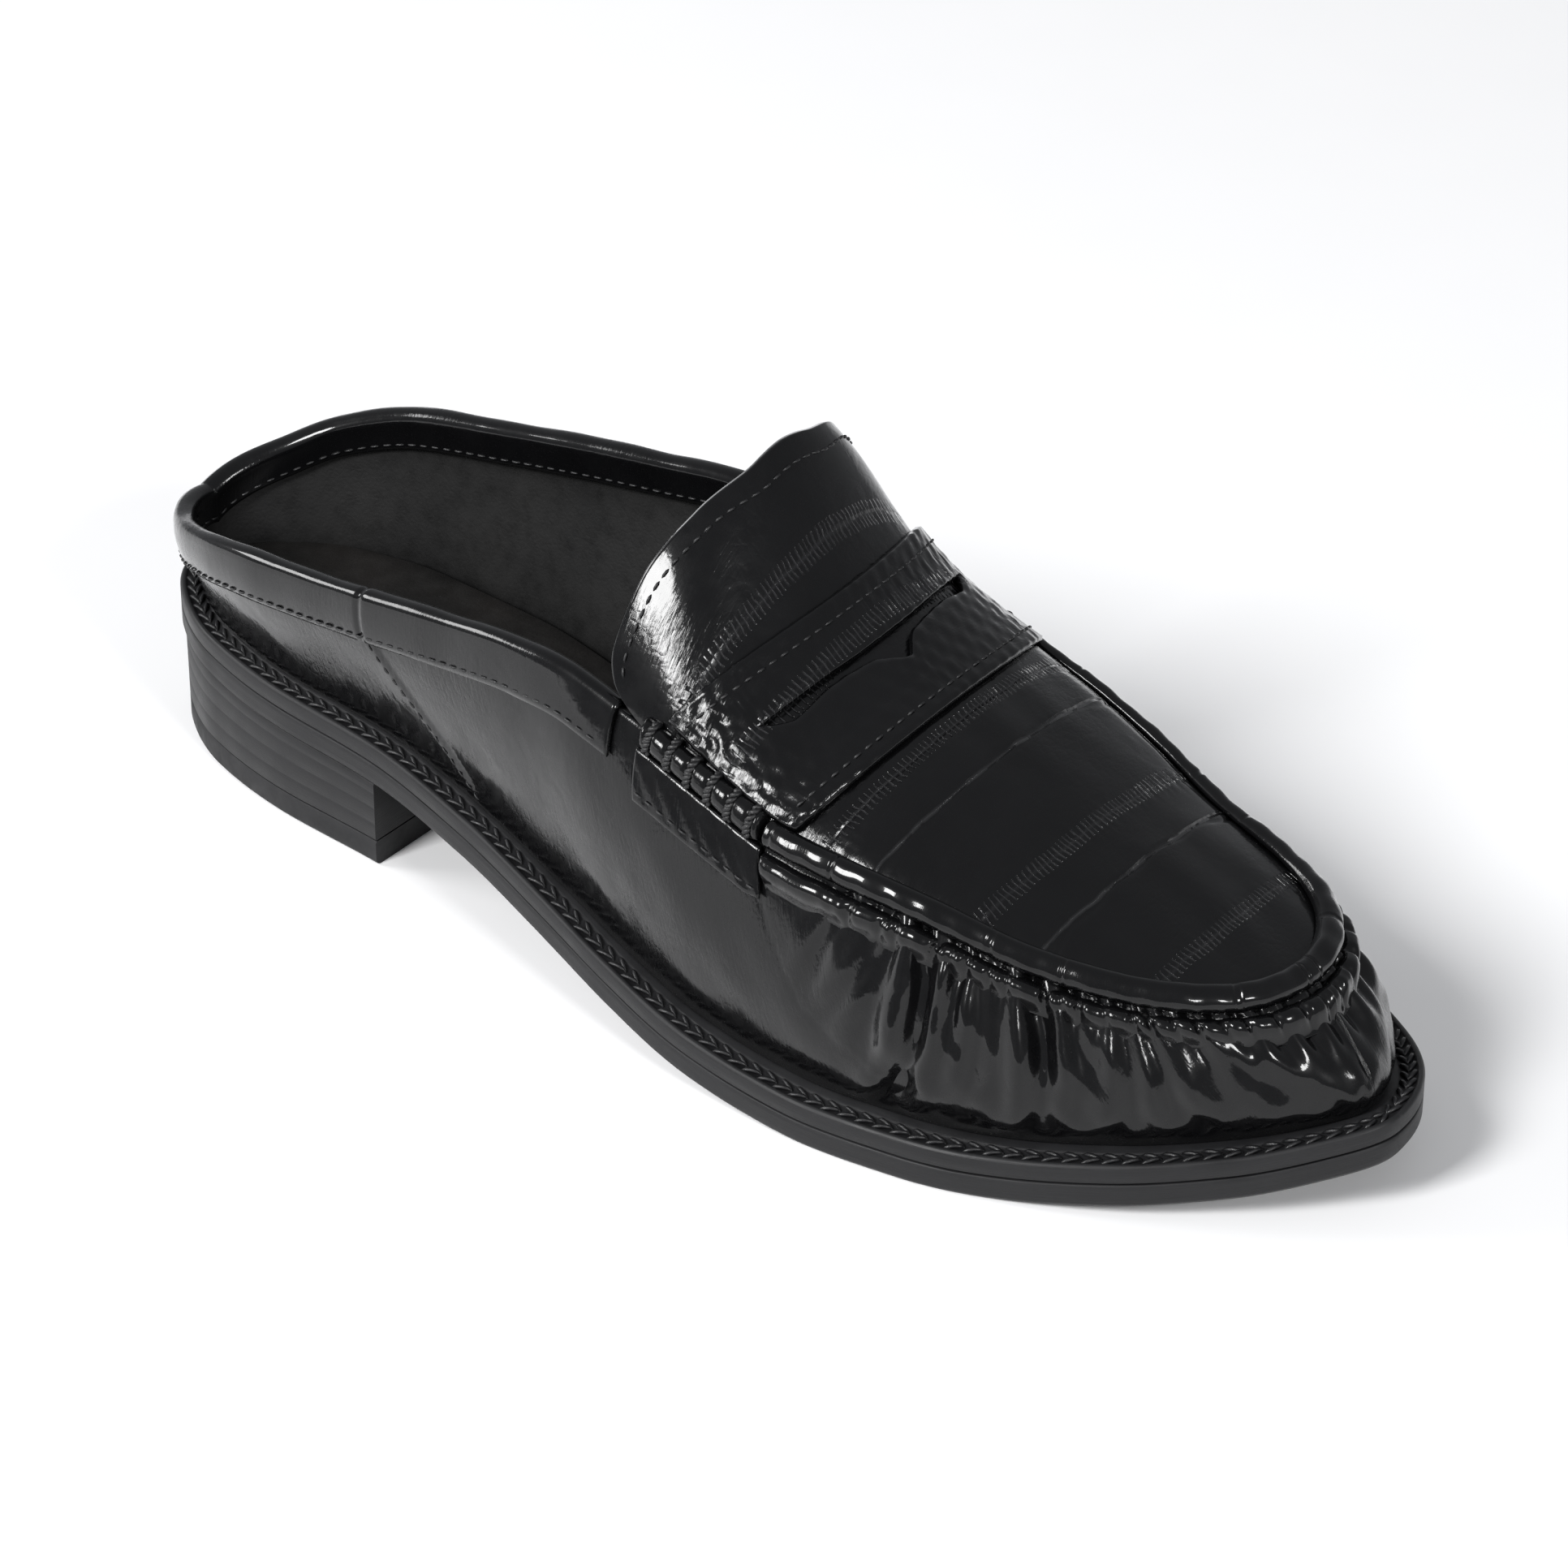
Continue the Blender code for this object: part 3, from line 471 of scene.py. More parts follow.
class Skin:
    """Outer face of the upper as one ring of columns: up the lateral side to the tip and back down the medial."""

    def __init__(self):
        throat = float(top_turn(THROAT_Y))
        back = np.linspace(0.0, throat, BACK_STEPS + 1)
        front = np.linspace(throat, np.pi, FRONT_STEPS + 1)[1:]
        self.turns = np.concatenate([back, front])
        self.throat = BACK_STEPS
        self.last = BACK_STEPS + FRONT_STEPS
        self.count = 2 * self.last
        self.degrees = np.linspace(0.0, 90.0, APRON_STEPS + 1)
        halves = [self.half(side) for side in SIDES]
        self.points = np.concatenate([halves[0], halves[1][-2:0:-1]])
        self.normals = self.make_normals()
        self.lengths = run_length(self.points) - run_length(self.points)[:, WALL_STEPS:WALL_STEPS + 1]
        self.seam_y = top_line("lateral", self.turns)[:, 1]
        top = self.points[:, WALL_STEPS]
        run = run_length(np.concatenate([top, top[:1]]))
        lateral = run[:self.last + 1] - run[self.throat]
        medial = (run[-1] - run)[:self.last - 1:-1][::-1]
        self.run = np.concatenate([lateral, medial[1:-1] - (run[-1] - run[self.count - self.throat])])
        self.seam_run = float(lateral[-1])
        self.medial = np.arange(self.count) > self.last

    def half(self, side):
        """Wall and apron rows of one side, the back columns run on straight above the collar."""
        wall = wall_rows(side, self.turns)
        seam_y = top_line(side, self.turns)[:, 1]
        apron = apron_rays(side, seam_y[self.throat:], self.degrees[1:])
        rise = unit(wall[:self.throat, -1] - wall[:self.throat, -2]) * GAP
        above = wall[:self.throat, -1:] + rise[:, None] * np.arange(1, APRON_STEPS + 1)[None, :, None]
        return np.concatenate([wall, np.concatenate([above, apron])], axis=1)

    def make_normals(self):
        along = np.roll(self.points, -1, axis=0) - np.roll(self.points, 1, axis=0)
        up = np.gradient(self.points, axis=1)
        mirror = (-np.arange(self.count)) % self.count
        up[:, -1] = self.points[mirror, -2] - self.points[:, -2]
        return unit(np.cross(along, up))

    def ring(self, side, place):
        place = np.asarray(place, dtype=float)
        return place if side == "lateral" else self.count - place

    def blend(self, ring):
        """Points, normals and lengths of columns that may lie between two."""
        ring = np.asarray(ring, dtype=float)
        low = np.floor(ring).astype(int)
        share = (ring - low)[:, None, None]
        low, high = low % self.count, (low + 1) % self.count
        points = (1.0 - share) * self.points[low] + share * self.points[high]
        normals = unit((1.0 - share) * self.normals[low] + share * self.normals[high])
        lengths = (1.0 - share[..., 0]) * self.lengths[low] + share[..., 0] * self.lengths[high]
        return points, normals, lengths

    def at(self, ring, distance):
        """Points and normals at distances from the top line, one row of them for each column."""
        points, normals, lengths = self.blend(ring)
        distance = np.broadcast_to(distance, (len(points), np.shape(distance)[-1]))
        rows = np.arange(points.shape[1])
        place = np.array([np.interp(want, have, rows) for want, have in zip(distance, lengths)])
        low = np.clip(np.floor(place).astype(int), 0, len(rows) - 2)
        share = (place - low)[..., None]
        column = np.arange(len(points))[:, None]
        found = (1.0 - share) * points[column, low] + share * points[column, low + 1]
        turned = (1.0 - share) * normals[column, low] + share * normals[column, low + 1]
        return found, unit(turned)

    def column_at(self, y):
        return np.interp(-np.asarray(y, dtype=float), -self.seam_y, np.arange(len(self.seam_y)))

    def apron_at(self, y, degrees):
        """Points and normals of the apron at y, so many degrees over the instep from the lateral side."""
        y, degrees = np.broadcast_arrays(np.asarray(y, dtype=float), np.asarray(degrees, dtype=float))
        shape = y.shape
        y, degrees = y.ravel(), degrees.ravel()
        lateral = degrees <= 90.0
        over = np.where(lateral, degrees, 180.0 - degrees)
        column = np.maximum(self.column_at(y), self.throat)
        ring = np.where(lateral, column, self.count - column)
        low = np.floor(ring).astype(int)
        share = (ring - low)[:, None]
        low, high = low % self.count, (low + 1) % self.count
        row = WALL_STEPS + over / 90.0 * APRON_STEPS
        under = np.minimum(np.floor(row).astype(int), WALL_STEPS + APRON_STEPS - 1)
        part = (row - under)[:, None]
        found = []
        for grid in (self.points, self.normals):
            near = (1.0 - part) * grid[low, under] + part * grid[low, under + 1]
            far = (1.0 - part) * grid[high, under] + part * grid[high, under + 1]
            found.append((1.0 - share) * near + share * far)
        return found[0].reshape(shape + (3,)), unit(found[1]).reshape(shape + (3,))


def grid_faces(grid, wrap=False):
    """Quads over a grid of indices, round again to the first row if wrap is set."""
    grid = np.asarray(grid)
    after = np.roll(grid, -1, axis=0) if wrap else grid[1:]
    grid = grid if wrap else grid[:-1]
    quads = np.stack([grid[:, :-1], grid[:, 1:], after[:, 1:], after[:, :-1]], axis=-1)
    return quads.reshape(-1, 4)


def tidy_faces(quads):
    """Faces as tuples, without corners that repeat the one before."""
    quads = np.asarray(quads)
    repeats = (quads == np.roll(quads, 1, axis=1)).any(axis=1)
    faces = quads[~repeats].tolist()
    faces += [clean_face(tuple(face)) for face in quads[repeats].tolist()]
    return [face for face in faces if face]


def mesh_normals(points, faces):
    """Vertex normals of a sheet of quads."""
    quads = np.array([tuple(face) + (face[-1],) * (4 - len(face)) for face in faces])
    corners = points[quads]
    area = np.cross(corners[:, 2] - corners[:, 0], corners[:, 3] - corners[:, 1])
    normals = np.zeros_like(points)
    for place in range(4):
        np.add.at(normals, quads[:, place], area)
    return unit(normals)


def add_mesh(name, points, faces, finish, nodes=(), flow=None, sharp=None):
    """A piece of the shoe on the one body of the part."""
    mesh = bpy.data.meshes.new(name)
    mesh.from_pydata(np.asarray(points).tolist(), [], [tuple(face) for face in faces])
    form = bmesh.new()
    form.from_mesh(mesh)
    bmesh.ops.recalc_face_normals(form, faces=form.faces)
    form.to_mesh(mesh)
    form.free()
    if flow is not None:
        layer = mesh.attributes.new("flow", "FLOAT_VECTOR", "POINT")
        layer.data.foreach_set("vector", np.asarray(flow, dtype=np.float32).ravel())
    mesh.materials.append(finish)
    mesh.shade_smooth()
    if sharp:
        mesh.set_sharp_from_angle(angle=math.radians(sharp))
    made = bpy.data.objects.new(name, mesh)
    bpy.context.scene.collection.objects.link(made)
    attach(made, "root")
    if nodes:
        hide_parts(*nodes)
    return made


def thick_sheet(name, outer, inner, faces, finish, nodes=(), flow=None, bulge=0.35):
    """Closed piece between two copies of one sheet, with a rounded rim."""
    count = len(outer)
    pairs = np.array([(face[place - 1], corner) for face in faces for place, corner in enumerate(face)])
    keys = pairs[:, 0] * count + pairs[:, 1]
    rim = pairs[~np.isin(keys, pairs[:, 1] * count + pairs[:, 0])]
    depth = outer - inner
    normal = unit(depth)
    away = np.zeros_like(outer)
    across = unit(np.cross(outer[rim[:, 1]] - outer[rim[:, 0]], normal[rim[:, 0]]))
    np.add.at(away, rim[:, 0], across)
    np.add.at(away, rim[:, 1], across)
    edge = np.unique(rim)
    centre = (outer[edge] + inner[edge]) / 2.0
    thick = np.linalg.norm(depth[edge], axis=1, keepdims=True)
    sign = rim_sign(outer, faces, rim, away)
    middle = centre + sign * unit(away[edge]) * thick * bulge
    place_of = np.zeros(count, dtype=int)
    place_of[edge] = 2 * count + np.arange(len(edge))
    solid = [tuple(face) for face in faces]
    solid += [tuple(count + corner for corner in reversed(face)) for face in faces]
    for start, end in rim.tolist():
        near, far = int(place_of[start]), int(place_of[end])
        solid.append((end, start, near, far))
        solid.append((far, near, count + start, count + end))
    points = np.concatenate([outer, inner, middle])
    used, index = np.unique(np.concatenate([np.array(face) for face in solid]), return_inverse=True)
    sizes = np.cumsum([len(face) for face in solid])[:-1]
    solid = [part.tolist() for part in np.split(index, sizes)]
    if flow is not None:
        flow = np.concatenate([flow, flow, flow[edge]])[used]
    return add_mesh(name, points[used], solid, finish, nodes, flow)


def rim_sign(outer, faces, rim, away):
    """1 or -1, so that away points off the sheet at its rim."""
    corner = int(rim[0, 0])
    for face in faces:
        if corner in face:
            inside = outer[list(face)].mean(axis=0) - outer[corner]
            return -1.0 if float(np.dot(away[corner], inside)) > 0 else 1.0
    return 1.0


def weld_sheet(blocks):
    """Distinct points of several grids and the index grid of each."""
    points = np.concatenate([block.reshape(-1, 3) for block in blocks])
    index, points = weld(points)
    grids, start = [], 0
    for block in blocks:
        size = block.shape[0] * block.shape[1]
        grids.append(index[start:start + size].reshape(block.shape[:2]))
        start += size
    return points, grids


def tube(name, sections, finish, nodes=(), wrap=False, flow=None, sharp=None):
    """Closed piece from sections of equal length, capped or joined end to end."""
    sections = np.asarray(sections)
    stations, corners = sections.shape[:2]
    grid = np.arange(stations * corners).reshape(stations, corners)
    grid = np.concatenate([grid, grid[:, :1]], axis=1)
    faces = grid_faces(grid, wrap).tolist()
    if not wrap:
        faces.append(list(range(corners))[::-1])
        faces.append([(stations - 1) * corners + place for place in range(corners)])
    return add_mesh(name, sections.reshape(-1, 3), faces, finish, nodes, flow, sharp)


def strand_mesh(paths, normals, radius):
    """Points and faces of round strands, each a path of K points, thin at its two ends."""
    paths, normals = np.asarray(paths), unit(np.asarray(normals))
    count, steps = paths.shape[:2]
    tangent = unit(np.gradient(paths, axis=1))
    side = unit(np.cross(tangent, normals))
    up = np.cross(side, tangent)
    turn = np.linspace(0.0, 2.0 * np.pi, 7)[:-1]
    shape = np.ones(steps)
    shape[[0, -1]] = 0.45
    reach = radius * shape[None, :, None, None]
    ring = np.cos(turn)[None, None, :, None] * side[:, :, None] + np.sin(turn)[None, None, :, None] * up[:, :, None]
    points = paths[:, :, None] + ring * reach
    grid = np.arange(count * steps * 6).reshape(count, steps, 6)
    grid = np.concatenate([grid, grid[..., :1]], axis=-1)
    quads = np.stack([grid[:, :-1, :-1], grid[:, :-1, 1:], grid[:, 1:, 1:], grid[:, 1:, :-1]], axis=-1)
    faces = quads.reshape(-1, 4).tolist()
    faces += grid[:, 0, :6][:, ::-1].tolist() + grid[:, -1, :6].tolist()
    return points.reshape(-1, 3), faces


def add_strands(name, groups, finish, radius=THREAD):
    """One piece of sewing from groups of strands."""
    points, faces, start = [], [], 0
    for paths, normals in groups:
        new, ring = strand_mesh(paths, normals, radius)
        points.append(new)
        faces += [[corner + start for corner in face] for face in ring]
        start += len(new)
    return add_mesh(name, np.concatenate(points), faces, finish)


def stitches(points, normals, pitch=STITCH_PITCH, length=STITCH_LENGTH, lift=THREAD * 0.5):
    """Strands of a row of stitches along a line, each dipping into the leather at its ends."""
    run = run_length(points)
    total = float(run[-1])
    number = max(int(total / pitch), 1)
    starts = (np.arange(number) + 0.5) * total / number
    offsets = np.linspace(-length / 2.0, length / 2.0, 5)
    places = starts[:, None] + offsets[None, :]
    path = np.stack([np.interp(places, run, points[:, axis]) for axis in range(3)], axis=-1)
    normal = unit(np.stack([np.interp(places, run, normals[:, axis]) for axis in range(3)], axis=-1))
    dip = np.array([-1.4, 0.6, 1.0, 0.6, -1.4]) * lift
    return path + normal * dip[None, :, None], normal


# Pleats of the wall under the apron seam. The places are shares of the way along the seam from throat to tip,
# at the top and the bottom of the pleat, whose own ends are shares of the way up the wall.
PLEATS = table("side top bottom high low bend width depth", [
    ("lateral", 0.361, 0.272, 0.86, 0.45, 0.00, 0.9, 0.40),
    ("lateral", 0.402, 0.291, 0.84, 0.38, 0.02, 0.8, 0.45),
    ("lateral", 0.424, 0.338, 0.80, 0.30, 0.00, 1.0, 0.55),
    ("lateral", 0.472, 0.334, 0.84, 0.01, 0.02, 1.1, 1.00),
    ("lateral", 0.498, 0.405, 0.86, 0.30, 0.00, 0.7, 0.35),
    ("lateral", 0.520, 0.417, 0.80, 0.15, 0.00, 1.0, 0.60),
    ("lateral", 0.551, 0.455, 0.84, 0.16, 0.01, 0.9, 0.60),
    ("lateral", 0.575, 0.498, 0.82, 0.12, 0.00, 1.0, 0.50),
    ("lateral", 0.624, 0.537, 0.86, 0.03, 0.01, 1.2, 1.00),
    ("lateral", 0.648, 0.590, 0.84, 0.40, 0.00, 0.7, 0.35),
    ("lateral", 0.667, 0.575, 0.80, 0.05, 0.01, 1.1, 0.65),
    ("lateral", 0.702, 0.640, 0.84, 0.30, 0.00, 0.8, 0.40),
    ("lateral", 0.736, 0.660, 0.82, 0.12, 0.00, 1.0, 0.60),
    ("lateral", 0.760, 0.716, 0.84, 0.22, 0.00, 0.9, 0.70),
    ("lateral", 0.790, 0.755, 0.86, 0.45, 0.00, 0.8, 0.35),
    ("lateral", 0.818, 0.782, 0.84, 0.34, 0.00, 1.0, 0.50),
    ("lateral", 0.850, 0.822, 0.86, 0.42, 0.00, 0.9, 0.40),
    ("lateral", 0.878, 0.846, 0.84, 0.40, 0.00, 1.0, 0.50),
    ("lateral", 0.915, 0.896, 0.86, 0.46, 0.00, 0.9, 0.40),
    ("lateral", 0.955, 0.945, 0.84, 0.42, 0.00, 1.0, 0.50),
    ("lateral", 0.990, 0.990, 0.86, 0.48, 0.00, 0.9, 0.45),
    ("medial", 0.965, 0.950, 0.84, 0.40, 0.00, 1.0, 0.60),
    ("medial", 0.930, 0.905, 0.86, 0.42, 0.00, 0.9, 0.50),
    ("medial", 0.892, 0.862, 0.84, 0.34, 0.00, 1.1, 0.65),
    ("medial", 0.852, 0.815, 0.84, 0.42, 0.00, 0.9, 0.45),
    ("medial", 0.812, 0.770, 0.86, 0.20, 0.00, 1.1, 0.80),
    ("medial", 0.770, 0.730, 0.84, 0.40, 0.00, 0.8, 0.40),
    ("medial", 0.730, 0.680, 0.82, 0.26, 0.00, 1.0, 0.60),
    ("medial", 0.688, 0.630, 0.84, 0.08, 0.01, 1.2, 0.95),
    ("medial", 0.645, 0.595, 0.86, 0.42, 0.00, 0.8, 0.40),
    ("medial", 0.600, 0.535, 0.82, 0.25, 0.00, 1.0, 0.60),
    ("medial", 0.555, 0.490, 0.84, 0.36, 0.00, 0.9, 0.45),
    ("medial", 0.510, 0.435, 0.84, 0.12, 0.01, 1.1, 0.75),
    ("medial", 0.462, 0.392, 0.84, 0.40, 0.00, 0.8, 0.40),
    ("medial", 0.415, 0.340, 0.84, 0.46, 0.00, 0.9, 0.35),
])


def pleat_relief(run, up, medial):
    """Depth of the pleats, below 0, and of the puffs between them, at places on the wall."""
    relief = np.zeros(np.broadcast(run, up).shape)
    for row in range(len(PLEATS["side"])):
        pleat = {name: PLEATS[name][row] for name in PLEATS}
        share = np.clip((pleat["high"] - up) / (pleat["high"] - pleat["low"]), 0.0, 1.2)
        line = pleat["top"] + (pleat["bottom"] - pleat["top"]) * share
        line = line + pleat["bend"] * 4.0 * share * (1.0 - share)
        away = run - line * SKIN.seam_run
        fade = ramp(up, pleat["low"] - 0.06, pleat["low"] + 0.16) * (1.0 - 0.5 * ramp(up, pleat["high"], 1.0))
        width = PLEAT_WIDTH * pleat["width"] * (0.75 + 0.5 * share)
        trough = -rib(away, width) * PLEAT_DEPTH
        puffs = (rib(away - 2.1 * width, 1.3 * width) + rib(away + 2.1 * width, 1.3 * width)) * PUFF
        same = medial == (pleat["side"] == "medial")
        relief = relief + np.where(same, fade * pleat["depth"] * (trough + puffs), 0.0)
    return relief


def crumple(run, up):
    """Soft uneven waves of the toe's wall, sums of a few sines."""
    run = run / SKIN.seam_run
    first = np.sin(61.0 * run + 5.0 * up) * np.sin(9.0 * up + 14.0 * run)
    second = np.sin(113.0 * run - 8.0 * up + 1.3) * np.sin(17.0 * up + 2.1)
    third = np.sin(37.0 * run + 11.0 * up + 0.7)
    return 0.45 * first + 0.25 * second + 0.30 * third


CRUMPLE = 0.00045
# Thin lines pressed into the wall: places along the seam from throat to tip and up the wall.
WALL_LINES = {
    "upper": table("up run", [(0.20, 0.352), (0.28, 0.300), (0.38, 0.256), (0.58, 0.234), (0.77, 0.219)]),
    "lower": table("up run", [(0.03, 0.540), (0.06, 0.509), (0.16, 0.455), (0.22, 0.384), (0.30, 0.330)]),
}
COUNTER_SEAM = table("up along", [
    (0.00, 0.337),
    (0.12, 0.313),
    (0.26, 0.292),
    (0.46, 0.273),
    (0.76, 0.256),
    (1.00, 0.250),
])
SEAM_STEP = 0.00035


def wall_relief():
    """Heights over the smooth wall, one for each column and row."""
    up = np.linspace(0.0, 1.0, WALL_STEPS + 1)[None, :]
    run = SKIN.run[:, None]
    medial = SKIN.medial[:, None]
    share = run / SKIN.seam_run
    toe = ramp(share, 0.25, 0.42) * ramp(up, 0.0, 0.12)
    relief = pleat_relief(run, up, medial) + CRUMPLE * crumple(run, up) * toe
    relief += 0.5 * CRUMPLE * crumple(run * 0.6, up) * ramp(share, -0.3, 0.2) * ramp(up, 0.0, 0.2)
    along = along_at(SKIN.points[:, WALL_STEPS, 1])[:, None]
    seam = smooth(COUNTER_SEAM["up"], COUNTER_SEAM["along"], up[0])[None, :]
    behind = (seam - along) * LENGTH
    relief += SEAM_STEP * ramp(behind, -0.0004, 0.0004) * ramp(along, 0.0, 0.02)
    for line in WALL_LINES.values():
        place = np.interp(up, line["up"], line["run"])
        inside = ramp(up, line["up"][0] - 0.03, line["up"][0]) * (1.0 - ramp(up, line["up"][-1], line["up"][-1] + 0.03))
        relief = relief - np.where(medial, 0.0, 0.00018 * inside * rib((share - place) * SKIN.seam_run, 0.0005))
    return relief * ramp(up, 0.0, 0.06)


def wall_flow():
    """Place along the shoe and up the wall for each point, for the grain of the leather."""
    run = np.where(SKIN.medial, -1.0, 1.0) * SKIN.run
    up = SKIN.lengths[:, :WALL_STEPS + 1]
    blank = np.zeros_like(up)
    return np.stack([np.broadcast_to(run[:, None], up.shape), up, blank], axis=-1)


def make_vamp():
    """Wall of the upper, one band of leather from the heel round the toe."""
    wall = SKIN.points[:, :WALL_STEPS + 1]
    normals = SKIN.normals[:, :WALL_STEPS + 1]
    relief = wall_relief()[..., None]
    outer = wall + normals * relief
    inner = wall - normals * LEATHER
    for face in (outer, inner):
        face[:, 0, 2] = bed_height(face[:, 0, 1]) + GAP
    count = SKIN.count * (WALL_STEPS + 1)
    faces = grid_faces(np.arange(count).reshape(SKIN.count, -1), wrap=True).tolist()
    flow = wall_flow().reshape(-1, 3)
    return thick_sheet("vamp", outer.reshape(-1, 3), inner.reshape(-1, 3), faces, LOOK["patent"],
                       ["upper"], flow)


def tongue_rows(side):
    """Rows back from the throat to the free edge of the tongue, each from seam to middle."""
    over = SKIN.degrees if side == "lateral" else 180.0 - SKIN.degrees
    reach = TONGUE_REACH * smooth(TONGUE_EDGE["degrees"], TONGUE_EDGE["reach"], over)
    left = np.maximum(np.cos(np.radians(SKIN.degrees)), 0.0) ** (2.0 / APRON_ROUNDNESS)
    rows = []
    for step in range(TONGUE_STEPS + 1):
        y = THROAT_Y + reach * step / TONGUE_STEPS
        outer, inner = seam_line("lateral", y)[:, 0], seam_line("medial", y)[:, 0]
        middle, half = (outer + inner) / 2.0, (inner - outer) / 2.0
        rows.append(apron_surface(middle + SIGN[side] * half * left, y))
    return np.array(rows)


def apron_blocks():
    """Grids of the apron and the tongue, lateral then medial, each from the free edge to the tip."""
    blocks = []
    for side in SIDES:
        ring = np.arange(SKIN.throat, SKIN.last + 1)
        if side == "medial":
            ring = (SKIN.count - ring) % SKIN.count
        apron = SKIN.points[ring][:, WALL_STEPS:]
        blocks.append(np.concatenate([tongue_rows(side)[:0:-1], apron]))
    return blocks


# Lines pressed into the apron. place is a share of LENGTH from the heel, bow how much nearer the heel the line is
# at its two ends, depth and ticks are shares of their sizes below.
PRESS_LINES = table("place bow depth ticks", [
    (0.5400, 0.004, 0.5, 0.8),
    (0.5880, 0.004, 0.2, 1.0),
    (0.6660, 0.004, 0.8, 0.7),
    (0.7000, 0.012, 1.0, 0.0),
    (0.7665, 0.006, 0.3, 1.0),
    (0.8020, 0.002, 1.0, 0.0),
    (0.8655, 0.003, 0.3, 1.0),
])
PRESS_DEPTH = 0.00022
PRESS_WIDTH = 0.00042
TICK_PITCH = 0.0021
TICK_REACH = 0.0020


def press_relief(points):
    """Thin lines across the apron, some with short ticks over them."""
    relief = np.zeros(len(points))
    middle = CENTRE + 0.02 * LENGTH
    across = (points[:, 0] - middle) / (BALL_WIDTH / 2.0)
    for row in range(len(PRESS_LINES["place"])):
        place = PRESS_LINES["place"][row] - PRESS_LINES["bow"][row] * across ** 2
        away = points[:, 1] - LENGTH * (0.5 - place) + 0.0004 * np.sin(across * 23.0 + row)
        relief -= PRESS_DEPTH * PRESS_LINES["depth"][row] * rib(away, PRESS_WIDTH)
        beat = np.sin(points[:, 0] * 2.0 * np.pi / TICK_PITCH + 2.0 * np.sin(points[:, 0] * 700.0 + row))
        ticks = PRESS_LINES["ticks"][row] * rib(away, TICK_REACH) * np.maximum(beat, 0.0) ** 2
        relief -= 0.6 * PRESS_DEPTH * ticks
    return relief


def make_apron():
    """Plug of leather over the toes and the instep, with the tongue's free edge."""
    points, grids = weld_sheet(apron_blocks())
    faces = np.concatenate([grid_faces(grids[0])[:, ::-1], grid_faces(grids[1])])
    faces = tidy_faces(faces)
    normals = mesh_normals(points, faces)
    if normals[:, 2].mean() < 0:
        normals = -normals
    relief = press_relief(points) * ramp(points[:, 1], -0.110, -0.090)
    wave = np.sin(points[:, 0] * 520.0 + 2.0 * np.sin(points[:, 1] * 90.0)) * np.sin(points[:, 1] * 60.0 + 1.0)
    relief += 0.00012 * wave * ramp(-points[:, 1], 0.03, 0.05)
    outer = points + normals * relief[:, None]
    inner = points - normals * UPPER_WALL
    flow = np.column_stack([points[:, 1], points[:, 0], points[:, 2] * 0.0])
    return thick_sheet("apron", outer, inner, faces, LOOK["pressed_with_painted_highlight"], ["upper"], flow)


def make_lining():
    """Matte lining inside the wall."""
    wall = SKIN.points[:, :WALL_STEPS + 1:2]
    normals = SKIN.normals[:, :WALL_STEPS + 1:2]
    outer = wall - normals * (LEATHER + GAP / 3.0)
    inner = wall - normals * UPPER_WALL
    for face in (outer, inner):
        face[:, 0, 2] = bed_height(face[:, 0, 1]) + GAP
    count = outer.shape[0] * outer.shape[1]
    faces = grid_faces(np.arange(count).reshape(SKIN.count, -1), wrap=True).tolist()
    return thick_sheet("lining", outer.reshape(-1, 3), inner.reshape(-1, 3), faces, LOOK["lining"],
                       ["upper"])


def raised(ring, across, heights, lift=GAP):
    """Closed sections lying on the skin: across are distances from the seam, heights stand on them."""
    base, normals = SKIN.at(ring, across)
    heights = np.broadcast_to(heights, base.shape[:2])[..., None]
    face = base + normals * (lift + heights)
    back = base + normals * lift
    return np.concatenate([back[:, 1:-1], face[:, ::-1]], axis=1)


def bead(steps, power=2.3):
    """Places from -1 to 1 and heights of a rounded back."""
    turn = np.linspace(0.0, np.pi, steps)
    across = -np.cos(turn)
    return across, np.maximum(1.0 - np.abs(across) ** power, 0.0) ** (1.0 / power)


def seam_ring(steps):
    start = float(SKIN.column_at(THROAT_Y - SEAM_REACH - ROLL_END_GAP))
    return np.linspace(start, SKIN.count - start, steps)


def run_at(ring):
    return np.interp(ring, np.arange(SKIN.count), SKIN.run)


def gathers(run, across, medial):
    """Share of full height of the puckered roll outside the seam, drawn in where a pleat starts."""
    share = run / SKIN.seam_run
    lobe = np.ones(np.broadcast(run, across).shape)
    for row in range(len(PLEATS["side"])):
        top = PLEATS["top"][row] + (PLEATS["top"][row] - PLEATS["bottom"][row]) * 0.10 * (1.0 + across)
        same = medial == (PLEATS["side"][row] == "medial")
        depth = 0.12 + 0.42 * PLEATS["depth"][row]
        lobe = lobe - np.where(same, depth * rib((share - top) * SKIN.seam_run, 0.0008), 0.0)
    small = np.sin(run * 1500.0 + 2.0 * np.sin(run * 410.0) - 1.5 * across)
    return np.maximum(lobe, 0.35) + 0.03 * small


